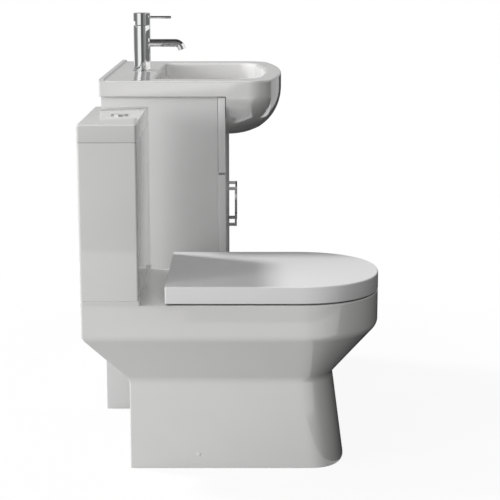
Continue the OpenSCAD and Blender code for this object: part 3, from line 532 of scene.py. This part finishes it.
def make_lid():
    outside = quarter(1.0, TANK_TOP, 0, TANK_TOP + 1.0, 4, "top")
    outside += quarter(0, LID_TOP - 4, 4, LID_TOP, 8)
    lid = box_loft("lid", [(HALF_W - i, i, CISTERN_D - i, max(TANK_R - i * 0.4, 3), z)
                           for i, z in outside])
    inset = 11
    lip = box_loft("lip", [(HALF_W - inset, inset, CISTERN_D - inset, 6, z)
                           for z in (TANK_TOP - 10, TANK_TOP + 3)])
    combine(lid, [lip], "UNION")
    inset = 18
    hollow = box_loft("cutter", [(HALF_W - inset, inset, CISTERN_D - inset, 6, z)
                                 for z in (TANK_TOP - 11, LID_TOP - 12)])
    return combine(lid, [hollow, hole(0, FLUSH_D, TANK_TOP, LID_TOP + 20, BUTTON_BORE, TOILET_X)])


finish_piece(make_tank(), "cistern_tank")
finish_piece(make_lid(), "cistern_lid")


# ------------------------------------------------------------------ seat and lid

LID_LOW, RING_LOW = 403, 406
COVER_TOP, RING_TOP = 442, 425
EAR_R, PIN_BORE, KNUCKLE_GAP = 6, 3.05, 12


def cover_plan(inset, z):
    return d_plan(HALF_W - inset, 187 + inset, PAN_D - inset, 188 - inset, 4, z, 2.15)


def ring_outer(inset, z):
    return d_plan(184 - inset, 212 + inset, 668 - inset, 180 - inset, 26, z, 2.15)


def ring_inner(grow, z):
    return d_plan(104 + grow, 284 - grow, 596 + grow, 118 + grow, 60, z, 2.1)


def hinge_rod(name, side, start, end, r):
    """Rod on the hinge line, between two distances from the middle of the hinge post."""
    return rod(name, (side * (HINGE_X + start), -HINGE_D, HINGE_Z),
               (side * (HINGE_X + end), -HINGE_D, HINGE_Z), r, TOILET_X)


def hinge_block(name, side, start, end, d0, d1, z0, z1):
    """Block at the hinge line, between two distances from the middle of the hinge post."""
    a, b = side * (HINGE_X + start), side * (HINGE_X + end)
    return block(name, (min(a, b), d0, z0), (max(a, b), d1, z1), TOILET_X)


def make_seat_lid():
    rows = [(4, 436), (4, LID_LOW + 1)] + quarter(1.4, LID_LOW, 0, LID_LOW + 1.4, 4, "top")
    rows += quarter(0, COVER_TOP - 3.5, 3.5, COVER_TOP, 8)
    lid = skin("seat_cover", [cover_plan(i, z) for i, z in rows], TOILET_X)
    ears, cuts = [], []
    for s in (-1, 1):
        ears.append(hinge_rod("ear", s, 8, 18, EAR_R))
        ears.append(hinge_block("ear", s, 8, 18, HINGE_D - 5, HINGE_D + 5, HINGE_Z, HINGE_Z + 20))
        cuts.append(hinge_rod("cutter", s, 7, 21, PIN_BORE))
        cuts.append(hinge_rod("cutter", s, -21, 7.7, KNUCKLE_GAP))
        cuts.append(hinge_block("cutter", s, -21, 7.7, HINGE_D - 11, HINGE_D, LID_LOW - 1,
                                HINGE_Z + 4))
    combine(lid, ears, "UNION")
    return combine(lid, cuts)


def make_seat_ring():
    rings = [ring_outer(i, z) for i, z in quarter(2, RING_LOW, 0, RING_LOW + 3, 3, "top")]
    rings += [ring_outer(i, z) for i, z in quarter(0, RING_TOP - 5, 13, RING_TOP, 8)]
    rings += [ring_inner(i, z) for i, z in quarter(13, RING_TOP, 0, RING_TOP - 7, 8, "top")]
    rings += [ring_inner(0, RING_LOW + 3), ring_inner(2, RING_LOW)]
    ring = skin("seat_loop", rings, TOILET_X, closed=True)
    ears, cuts = [], []
    for s in (-1, 1):
        ears.append(hinge_rod("ear", s, -18, -8, EAR_R))
        ears.append(hinge_block("ear", s, -18, -8, HINGE_D, HINGE_D + 30, HINGE_Z - 6, HINGE_Z + 5))
        cuts.append(hinge_rod("cutter", s, -21, -6, PIN_BORE))
    combine(ring, ears, "UNION")
    return combine(ring, cuts)


finish_piece(make_seat_lid(), "seat_lid")
finish_piece(make_seat_ring(), "seat_ring")


# ------------------------------------------------------------------ basin

SLAB_HALF, SLAB_LOW, BASIN_TOP, BASIN_D = 340, 815, 854, 460
BELLY_TOP, BELLY_H, BELLY_POWER, BELLY_CORE, BELLY_TUCK = 814.7, 126.7, 1.65, 39, 122
NECK_HALF, STEP_D = 285, 316
DRAIN_D, BOWL_STEP = 250, 255
BOWL_TOP, BOWL_H, BOWL_HALF, BOWL_REACH = 838, 123, 264, 164
BOSS_LOW, BOSS_R, WASTE_BORE = 676, 36, 22.5
UPSTAND_HALF, UPSTAND_LOW = 338, 846
OVERFLOW_D, OVERFLOW_Z, OVERFLOW_BORE = 138.8, 820, 11
TAP_D = 84.5


def belly_share(t):
    """Share of the belly's reach that is left at the share t of its depth."""
    return (1 - t ** BELLY_POWER) ** (1 / BELLY_POWER)


def belly_half(t):
    return BELLY_CORE + (SLAB_HALF - BELLY_CORE) * belly_share(t)


def belly_ring(t):
    """Ring of the belly at the share t of its depth."""
    inset = BELLY_TUCK * (1 - math.sqrt(1 - t * t))
    w, f, s = belly_half(t), BASIN_D - inset, 1 - belly_share(t)
    bend = min(91 + 20 * s, f - STEP_D - 4)
    return step_plan(min(NECK_HALF, w - 1), w, 112 + inset * 0.35, STEP_D, f,
                     (min(50 + 110 * s, 0.85 * w), bend * (0.55 + 0.07 * s)), 12, 1.5,
                     BELLY_TOP - BELLY_H * t, bend * (0.45 - 0.07 * s))


def slab_ring(back, front, z):
    return step_plan(SLAB_HALF - back, SLAB_HALF - front, back, STEP_D, BASIN_D - front,
                     (50 - front, 50 - front), 5, max(back - front, 0.1), z, 41)


def lip_ring(i, z):
    return step_plan(271.5 - i, 272 - i, 127 + (i + 6) / 2, BOWL_STEP, 422 - i, (50 - i, 45 - i),
                     18, 4, z, 34)


def bowl_ring(u):
    """Ring of the bowl at the share u of its depth."""
    k = (1 - (0.97 * u) ** 3) ** (1 / 3)
    w, f = BOWL_HALF * k, DRAIN_D + BOWL_REACH * k
    bend = min(72, f - BOWL_STEP - 8)
    return step_plan(w - 0.5, w, 134 + 57 * (1 - k), BOWL_STEP, f,
                     (min(44 + 50 * u, 0.8 * w), bend * 0.54), 18 + 20 * u, 4,
                     BOWL_TOP - BOWL_H * u, bend * 0.46)


def basin_rings():
    """Rings from the bottom of the belly up to the slab, over the lip and down into the bowl."""
    rings = [belly_ring(math.sin(math.radians(90 - 90 * k / 32))) for k in range(33)]
    rings += [slab_ring(1 - 0.9 * k / 4, 0, SLAB_LOW + k / 4) for k in range(5)]
    rings += [slab_ring(max(i, 0.1), i, z) for i, z in quarter(0, BASIN_TOP - 5, 4.5, BASIN_TOP, 9)]
    rings += [lip_ring(i, z) for i, z in quarter(-6, BASIN_TOP, 7, BASIN_TOP - 10, 10, "top")]
    rings += [bowl_ring(math.sin(math.pi / 2 * k / 30)) for k in range(31)]
    return rings


def make_upstand():
    """Soft low ridge along the wall, from (distance, height) pairs."""
    profile = [(1, UPSTAND_LOW), (1, 858.1), (1.4, 858.5), (10, 858.5), (11.2, 858.2),
               (12.4, 857.2), (13.2, 856), (13.7, 854.8), (14.3, 854.1), (15.2, 853.9),
               (15.2, UPSTAND_LOW)]
    ends = [[(x, -d, z) for d, z in profile] for x in (-UPSTAND_HALF, UPSTAND_HALF)]
    ridge = skin("ridge", ends, BASIN_X)
    ridge.data.flip_normals()
    return ridge


def make_basin():
    basin = skin("wash_basin", basin_rings(), BASIN_X)
    boss = rod("boss", (0, -DRAIN_D, BOSS_LOW), (0, -DRAIN_D, BOSS_LOW + 30), BOSS_R, BASIN_X)
    combine(basin, [make_upstand(), boss], "UNION")
    return combine(basin, [
        hole(0, TAP_D, SLAB_LOW - 5, BASIN_TOP + 16, 17.5, BASIN_X),
        hole(0, TAP_D, SLAB_LOW - 5, BASIN_TOP - 22, 34, BASIN_X),
        hole(0, DRAIN_D, BOSS_LOW - 8, 728, WASTE_BORE, BASIN_X),
        rod("cutter", (0, -OVERFLOW_D, OVERFLOW_Z), (0, 26 - OVERFLOW_D, OVERFLOW_Z), OVERFLOW_BORE,
            BASIN_X),
        rod("cutter", (0, -OVERFLOW_D, OVERFLOW_Z), (0, 6 - OVERFLOW_D, OVERFLOW_Z), 15.2,
            BASIN_X)])


finish_piece(make_basin(), "basin", 35)


# ------------------------------------------------------------------ tap

TAP_R, TAP_FOOT, SEAM_Z, TAP_TOP = 22.5, 856.2, 976, 1008
SPOUT_Z, SPOUT_R, SPOUT_BORE = 927.5, 10.5, 8.6
REACH, BEND, BEND_ANGLE, BEND_STEPS, MOUTH, SPOUT_ROOT = 89.6, 17, 72, 24, 6, 12
LEVER_Z, LEVER_R, LEVER_END, LEVER_ROOT = 996, 3.5, 79, 13.5
TILT_Y, TILT_Z, TILT_ROOM = 12, 984, 16.5


def spout_ring(r, reach, angle, steps=64):
    """Ring across the spout, at an angle along its bend, with y from the tap's axis."""
    s, c = math.sin(math.radians(angle)), math.cos(math.radians(angle))
    out = []
    for i in range(steps):
        a = 2 * math.pi * i / steps
        k = BEND + r * math.sin(a)
        out.append((r * math.cos(a), -reach - k * s, SPOUT_Z - BEND + k * c))
    return out


def mouth_ring(r, way):
    """Ring across the spout's straight end, at a distance past the bend."""
    s, c = math.sin(math.radians(BEND_ANGLE)), math.cos(math.radians(BEND_ANGLE))
    return [(x, y - way * c, z - way * s) for x, y, z in spout_ring(r, REACH, BEND_ANGLE)]


def make_spout():
    turns = [spout_ring(SPOUT_R, REACH, a * BEND_ANGLE / BEND_STEPS) for a in range(BEND_STEPS + 1)]
    bores = [spout_ring(SPOUT_BORE, REACH, (BEND_STEPS - a) * BEND_ANGLE / BEND_STEPS)
             for a in range(BEND_STEPS + 1)]
    around = [spout_ring(SPOUT_R, SPOUT_ROOT, 0)] + turns
    around += [mouth_ring(SPOUT_R, MOUTH - 0.4), mouth_ring(SPOUT_R - 0.4, MOUTH),
               mouth_ring(SPOUT_BORE + 0.3, MOUTH), mouth_ring(SPOUT_BORE, MOUTH - 0.3)]
    around += bores + [spout_ring(SPOUT_BORE, SPOUT_ROOT, 0)]
    rings = [[(x, y - TAP_D, z) for x, y, z in ring] for ring in around]
    return skin("spout", rings, BASIN_X, closed=True)


def make_tap_body():
    body = lathe("tap_column", [(16.5, 849), (16.5, 856), (TAP_R - 0.6, TAP_FOOT), (TAP_R, 856.8)]
                 + [(TAP_R, z) for z in (860, 900, 950, SEAM_Z - 2)]
                 + [(TAP_R - 0.3, 974.7), (TAP_R - 0.9, SEAM_Z - 1)], BASIN_X, TAP_D)
    combine(body, [make_spout()], "UNION")
    return combine(body, [
        hole(0, TAP_D, SEAM_Z - 30, SEAM_Z + 10, 17.05, BASIN_X),
        rod("cutter", (0, -TAP_D - 8, SPOUT_Z), (0, -TAP_D - 30, SPOUT_Z), SPOUT_BORE - 0.5,
            BASIN_X)])


def tilt_relief():
    """Cutter that leaves room for the head's skirt to tilt with the lever."""
    relief = block("cutter", (-30, -40, -20), (30, 0, 0), BASIN_X)
    turn = Matrix.Rotation(math.radians(TILT_ROOM), 4, "X")
    move = Matrix.Translation(point((0, -TAP_D + TILT_Y + 3, SEAM_Z), 0))
    centre = Matrix.Translation((BASIN_X, 0, 0))
    back = Matrix.Translation((-BASIN_X, -WALL, 0))
    relief.data.transform(centre @ move @ turn @ back)
    return relief


def make_tap_head():
    soft = quarter(0, TAP_TOP - 1.4, 1.4, TAP_TOP, 6)
    head = lathe("tap_cap", [(TAP_R - 0.5, SEAM_Z), (TAP_R, SEAM_Z + 0.5), (TAP_R, 990),
                             (TAP_R, 1000)] + [(TAP_R - i, z) for i, z in soft]
                 + [(TAP_R - 3, TAP_TOP)], BASIN_X, TAP_D)
    return combine(head, [
        block("cutter", (-4.3, TAP_D - 18.5, SEAM_Z - 1), (4.3, TAP_D - 5.5, SEAM_Z + 15), BASIN_X),
        rod("cutter", (-12.3, -TAP_D + TILT_Y, TILT_Z), (12.3, -TAP_D + TILT_Y, TILT_Z), 2.05,
            BASIN_X),
        block("cutter", (-30, TAP_D - 37, SEAM_Z - 1), (30, TAP_D - 17, SEAM_Z + 10), BASIN_X),
        tilt_relief(),
        rod("cutter", (0, -TAP_D - LEVER_ROOT, LEVER_Z), (0, -TAP_D - LEVER_ROOT - 20, LEVER_Z), 2.6,
            BASIN_X)])


def make_lever():
    start, end = TAP_R - 0.1, LEVER_END - 0.7
    profile = [(2.6, LEVER_ROOT), (2.6, start), (4.0, start), (4.4, start + 0.4),
               (4.4, start + 1.6), (4.0, start + 2), (LEVER_R, start + 2.2), (LEVER_R, 50),
               (LEVER_R, end)]
    profile += [(LEVER_R - i, h) for i, h in quarter(0, end, 0.7, LEVER_END, 4)]
    return lathe("tap_pin", profile, BASIN_X, TAP_D, "out", 48, LEVER_Z)


def make_base_ring():
    return lathe("tap_foot", [(20, BASIN_TOP), (27, BASIN_TOP), (27, 855.6), (26.8, 856),
                              (26.4, TAP_FOOT), (20, TAP_FOOT)], BASIN_X, TAP_D)


finish_piece(make_tap_body(), "tap_body")
finish_piece(make_tap_head(), "tap_head")
finish_piece(make_lever(), "tap_lever")
finish_piece(make_base_ring(), "tap_base_ring")


# ------------------------------------------------------------------ cabinet fronts and sides

HALF_CAB, CAB_TOP, BOARD_T, BOARD_EDGE = 326, 814.7, 18, 0.8
SIDE_BACK, SIDE_FRONT, FRONTS_BACK = 4, 295, 296
DOOR_LOW, DOOR_TOP, DOOR_GAP = 82, 617, 1.5
FASCIA_LOW, FASCIA_TOP, FASCIA_GAP = 622, 812, 1.2


def panel(name, x0, x1, d0, d1, z0, z1):
    """Board with softly rounded edges."""
    return block(name, (x0, d0, z0), (x1, d1, z1), BASIN_X, BOARD_EDGE)


def make_fascia():
    """Board cut out around the basin's belly, with a narrow gap."""
    board = panel("fascia_board", -HALF_CAB, HALF_CAB, FRONTS_BACK, FRONTS_BACK + BOARD_T, FASCIA_LOW,
                  FASCIA_TOP)
    side = [(min(NECK_HALF, belly_half(t) - 1) + FASCIA_GAP, BELLY_TOP - FASCIA_GAP - BELLY_H * t)
            for t in (math.sin(math.pi / 2 * k / 40) for k in range(41))]
    corner, above = NECK_HALF + FASCIA_GAP, FASCIA_TOP + 23
    outline = [(-corner, above)] + [(-x, z) for x, z in side] + side[::-1] + [(corner, above)]
    cut = skin("cutter", [[(x, -d, z) for x, z in outline]
                          for d in (FRONTS_BACK - 6, FRONTS_BACK + 24)], BASIN_X)
    return combine(board, [cut])


def side_board(name, x0, x1):
    return panel(name, x0, x1, SIDE_BACK, SIDE_FRONT, 0, CAB_TOP)


def door_board(name, x0, x1):
    return panel(name, x0, x1, FRONTS_BACK, FRONTS_BACK + BOARD_T, DOOR_LOW, DOOR_TOP)


BOARD_ANGLE = 40
SIDE_IN = HALF_CAB - BOARD_T
finish_piece(side_board("side_board_left", -HALF_CAB, -SIDE_IN), "cabinet_side_left", BOARD_ANGLE)
finish_piece(side_board("side_board_right", SIDE_IN, HALF_CAB), "cabinet_side_right", BOARD_ANGLE)
finish_piece(door_board("door_board_left", -HALF_CAB, -DOOR_GAP), "door_left", BOARD_ANGLE)
finish_piece(door_board("door_board_right", DOOR_GAP, HALF_CAB), "door_right", BOARD_ANGLE)
finish_piece(make_fascia(), "cabinet_fascia", BOARD_ANGLE)


# ------------------------------------------------------------------ stage, light and camera (m)

FLOOR_NEAR, FLOOR_WALL, FLOOR_FAR, FLOOR_SEEN = 0.16, 0.28, 0.05, 0.93
SKY_NEAR, SKY_TOP, SKY_BASE, SKY_FRONT = 0.95, 0.25, 0.05, 0.18
CARD_FOOT, CARD_LEFT, CARD_RIGHT, CARD_BACK, CARD_TOP = 0.002, -2.4, 1.9, 2.0, 2.6
FRONT_LEFT, FRONT_EDGE, FRONT_HIGH = -0.9, -0.95, 0.47
WHITE = (1, 1, 1, 1)
SENSOR_MM, FOCAL_PX, FRAME_PX = 36, 1415, 500
CAMERA_PLACE, CAMERA_TILT = (-3.621, -0.0385, 1.157), 11.73


def link_math(tree, operation, a, b):
    """A maths node of two values, each a socket or a number."""
    node = tree.nodes.new("ShaderNodeMath")
    node.operation = operation
    for k, value in enumerate((a, b)):
        if isinstance(value, (int, float)):
            node.inputs[k].default_value = value
        else:
            tree.links.new(value, node.inputs[k])
    return node.outputs[0]


def seen_white(tree):
    """1 for rays that show the background: camera, glossy and transmission rays."""
    path = tree.nodes.new("ShaderNodeLightPath")
    first = link_math(tree, "MAXIMUM", path.outputs["Is Camera Ray"], path.outputs["Is Glossy Ray"])
    return link_math(tree, "MAXIMUM", first, path.outputs["Is Transmission Ray"])


def axes_of(tree, coords, output):
    """The X, Y and Z outputs of a texture coordinate."""
    split = tree.nodes.new("ShaderNodeSeparateXYZ")
    tree.links.new(coords.outputs[output], split.inputs[0])
    return split.outputs


def floor_ramp(tree, value, start, end):
    """0 at the start, 1 at the end, smooth between them."""
    low, high = (0.0, 1.0) if start < end else (1.0, 0.0)
    return ranged(tree, value, low, high, min(start, end), max(start, end), "SMOOTHSTEP")


def floor_bounce(tree, coords):
    """Level of the floor as a light: brighter on the camera's side and along the wall."""
    axes = axes_of(tree, coords, "Object")
    near = link_math(tree, "MULTIPLY", floor_ramp(tree, axes["X"], -0.1, -0.9),
                     floor_ramp(tree, axes["Y"], -0.9, 0.1))
    wall = floor_ramp(tree, axes["Y"], -0.25, 0.3)
    bounce = link_math(tree, "MAXIMUM", link_math(tree, "MULTIPLY", near, FLOOR_NEAR),
                       link_math(tree, "MULTIPLY", wall, FLOOR_WALL))
    return link_math(tree, "MAXIMUM", bounce, FLOOR_FAR)


def mix_shaders(tree, share, first, second, surface):
    """Mixes two shaders into a surface socket."""
    mix = tree.nodes.new("ShaderNodeMixShader")
    tree.links.new(share, mix.inputs["Fac"])
    tree.links.new(first.outputs[0], mix.inputs[1])
    tree.links.new(second.outputs[0], mix.inputs[2])
    tree.links.new(mix.outputs[0], surface)


def glow(tree, kind, strength):
    """White emission or background shader."""
    node = tree.nodes.new(kind)
    node.inputs["Color"].default_value = WHITE
    node.inputs["Strength"].default_value = strength
    return node


def make_floor():
    """Pale floor that keeps the object's shadow and turns white away from it."""
    floor = new_object("floor", [(-9, -9, 0), (9, -9, 0), (9, 9, 0), (-9, 9, 0)], [(0, 1, 2, 3)])
    mat, tree, shader = nodes_of("floor")
    shader.inputs["Roughness"].default_value = 0.9
    shader.inputs["Specular IOR Level"].default_value = 0.2
    seen = seen_white(tree)
    coords = tree.nodes.new("ShaderNodeTexCoord")
    tint = tree.nodes.new("ShaderNodeMapRange")
    tint.inputs["To Max"].default_value = FLOOR_SEEN
    tree.links.new(floor_bounce(tree, coords), tint.inputs["To Min"])
    tree.links.new(seen, tint.inputs["Value"])
    tree.links.new(tint.outputs["Result"], shader.inputs["Base Color"])
    away = tree.nodes.new("ShaderNodeVectorMath")
    away.operation = "LENGTH"
    tree.links.new(coords.outputs["Object"], away.inputs[0])
    far = ranged(tree, away.outputs["Value"], 0.92, 1.0, 0.5, 1.7, "SMOOTHSTEP")
    mix_shaders(tree, link_math(tree, "MULTIPLY", seen, far), shader,
                glow(tree, "ShaderNodeEmission", 1.0), tree.nodes["Material Output"].inputs["Surface"])
    floor.data.materials.append(mat)


def make_world():
    """White where it is seen. As a light it is bright on the camera's side and dim in front."""
    world = bpy.data.worlds.new("studio")
    bpy.context.scene.world = world
    world.use_nodes = True
    tree = world.node_tree
    back = tree.nodes["Background"]
    back.inputs["Color"].default_value = WHITE
    axes = axes_of(tree, tree.nodes.new("ShaderNodeTexCoord"), "Generated")
    near = link_math(tree, "MAXIMUM", link_math(tree, "MULTIPLY", axes["X"], -SKY_NEAR), 0.0)
    over = link_math(tree, "MAXIMUM", link_math(tree, "MULTIPLY", axes["Z"], SKY_TOP), 0.0)
    total = link_math(tree, "ADD", link_math(tree, "ADD", near, over), SKY_BASE)
    front = ranged(tree, axes["Y"], SKY_FRONT, 1.0, -0.9, -0.1)
    tree.links.new(link_math(tree, "MULTIPLY", total, front), back.inputs["Strength"])
    mix_shaders(tree, seen_white(tree), back, glow(tree, "ShaderNodeBackground", 1.0),
                tree.nodes["World Output"].inputs["Surface"])


def make_card(name, low_a, low_b, high_b, high_a, level):
    """Studio card between four corners, seen only in reflections."""
    card = new_object(name, [low_a, low_b, high_b, high_a], [(0, 1, 2, 3)])
    mat, tree, _ = nodes_of(name)
    light = glow(tree, "ShaderNodeEmission", level)
    tree.links.new(light.outputs[0], tree.nodes["Material Output"].inputs["Surface"])
    card.data.materials.append(mat)
    card.visible_camera = False
    card.visible_diffuse = False
    card.visible_shadow = False
    card.visible_transmission = False


def upright_card(name, start, end, low, high, level):
    """Upright card over a line on the floor, between two heights."""
    make_card(name, (*start, low), (*end, low), (*end, high), (*start, high), level)


def add_sun(name, travel, strength, angle):
    """Soft sun that isn't seen in reflections."""
    data = bpy.data.lights.new(name, "SUN")
    data.energy = strength
    data.angle = math.radians(angle)
    lamp = bpy.data.objects.new(name, data)
    lamp.rotation_euler = Vector(travel).to_track_quat("-Z", "Y").to_euler()
    bpy.context.scene.collection.objects.link(lamp)
    lamp.visible_glossy = False


def make_cards():
    """Dark cards before and beside the unit, and bright ones behind, high up and to the sides."""
    make_card("card_mat", (FRONT_LEFT, -0.6, CARD_FOOT), (1.2, -0.6, CARD_FOOT),
              (1.2, -0.247, CARD_FOOT), (FRONT_LEFT, -0.247, CARD_FOOT), 0.03)
    make_card("card_front", (FRONT_LEFT, -0.5, CARD_FOOT), (0.9, -0.5, CARD_FOOT),
              (1.3, FRONT_EDGE, FRONT_HIGH), (FRONT_LEFT, FRONT_EDGE, FRONT_HIGH), 0.02)
    make_card("card_rise", (FRONT_LEFT, FRONT_EDGE, FRONT_HIGH), (1.3, FRONT_EDGE, FRONT_HIGH),
              (CARD_RIGHT, -1.6, 1.15), (FRONT_LEFT, -1.6, 1.15), 0.17)
    make_card("card_far", (0.75, -0.25, CARD_FOOT), (0.75, 0.6, CARD_FOOT),
              (CARD_RIGHT, 0.6, 0.75), (CARD_RIGHT, -0.5, 0.75), 0.05)
    upright_card("card_high", (CARD_RIGHT, -1.6), (CARD_RIGHT, 3.0), 0.75, CARD_TOP, 0.48)
    upright_card("card_wall", (-0.3, CARD_BACK), (1.7, CARD_BACK), 0.0, 1.3, 0.2)
    upright_card("card_back", (-0.3, CARD_BACK), (1.7, CARD_BACK), 1.3, CARD_TOP, 0.5)
    upright_card("card_near", (CARD_LEFT, -0.85), (CARD_LEFT, 0.8), 0.0, 2.4, 0.12)
    upright_card("card_side", (CARD_LEFT, -3.2), (CARD_LEFT, -0.85), 0.0, 2.4, 0.28)
    upright_card("card_edge", (-1.05, 2.3), (-0.45, 2.5), 0.0, 2.4, 0.35)
    make_card("card_over", (CARD_LEFT, -2.0, CARD_TOP), (CARD_RIGHT, -2.0, CARD_TOP),
              (CARD_RIGHT, CARD_BACK, CARD_TOP), (CARD_LEFT, CARD_BACK, CARD_TOP), 0.04)
    upright_card("card_strip", (1.0, -1.1), (1.45, -0.4), 0.42, 0.8, 0.5)


def add_camera():
    """Camera at the photograph's viewing angle, level from side to side and tilted down."""
    data = bpy.data.cameras.new("camera")
    data.sensor_width = SENSOR_MM
    data.lens = SENSOR_MM * FOCAL_PX / FRAME_PX
    camera = bpy.data.objects.new("camera", data)
    camera.location = CAMERA_PLACE
    tilt = math.radians(CAMERA_TILT)
    way = Vector((math.cos(tilt), 0, -math.sin(tilt)))
    camera.rotation_euler = way.to_track_quat("-Z", "Y").to_euler()
    bpy.context.scene.collection.objects.link(camera)
    bpy.context.scene.camera = camera


make_floor()
make_world()
add_sun("key", (-0.126, -0.295, -0.359), 2.1, 8)
add_sun("side", (0.48, -0.85, -0.15), 1.5, 18)
make_cards()
add_camera()
bpy.context.scene.view_settings.view_transform = "Standard"
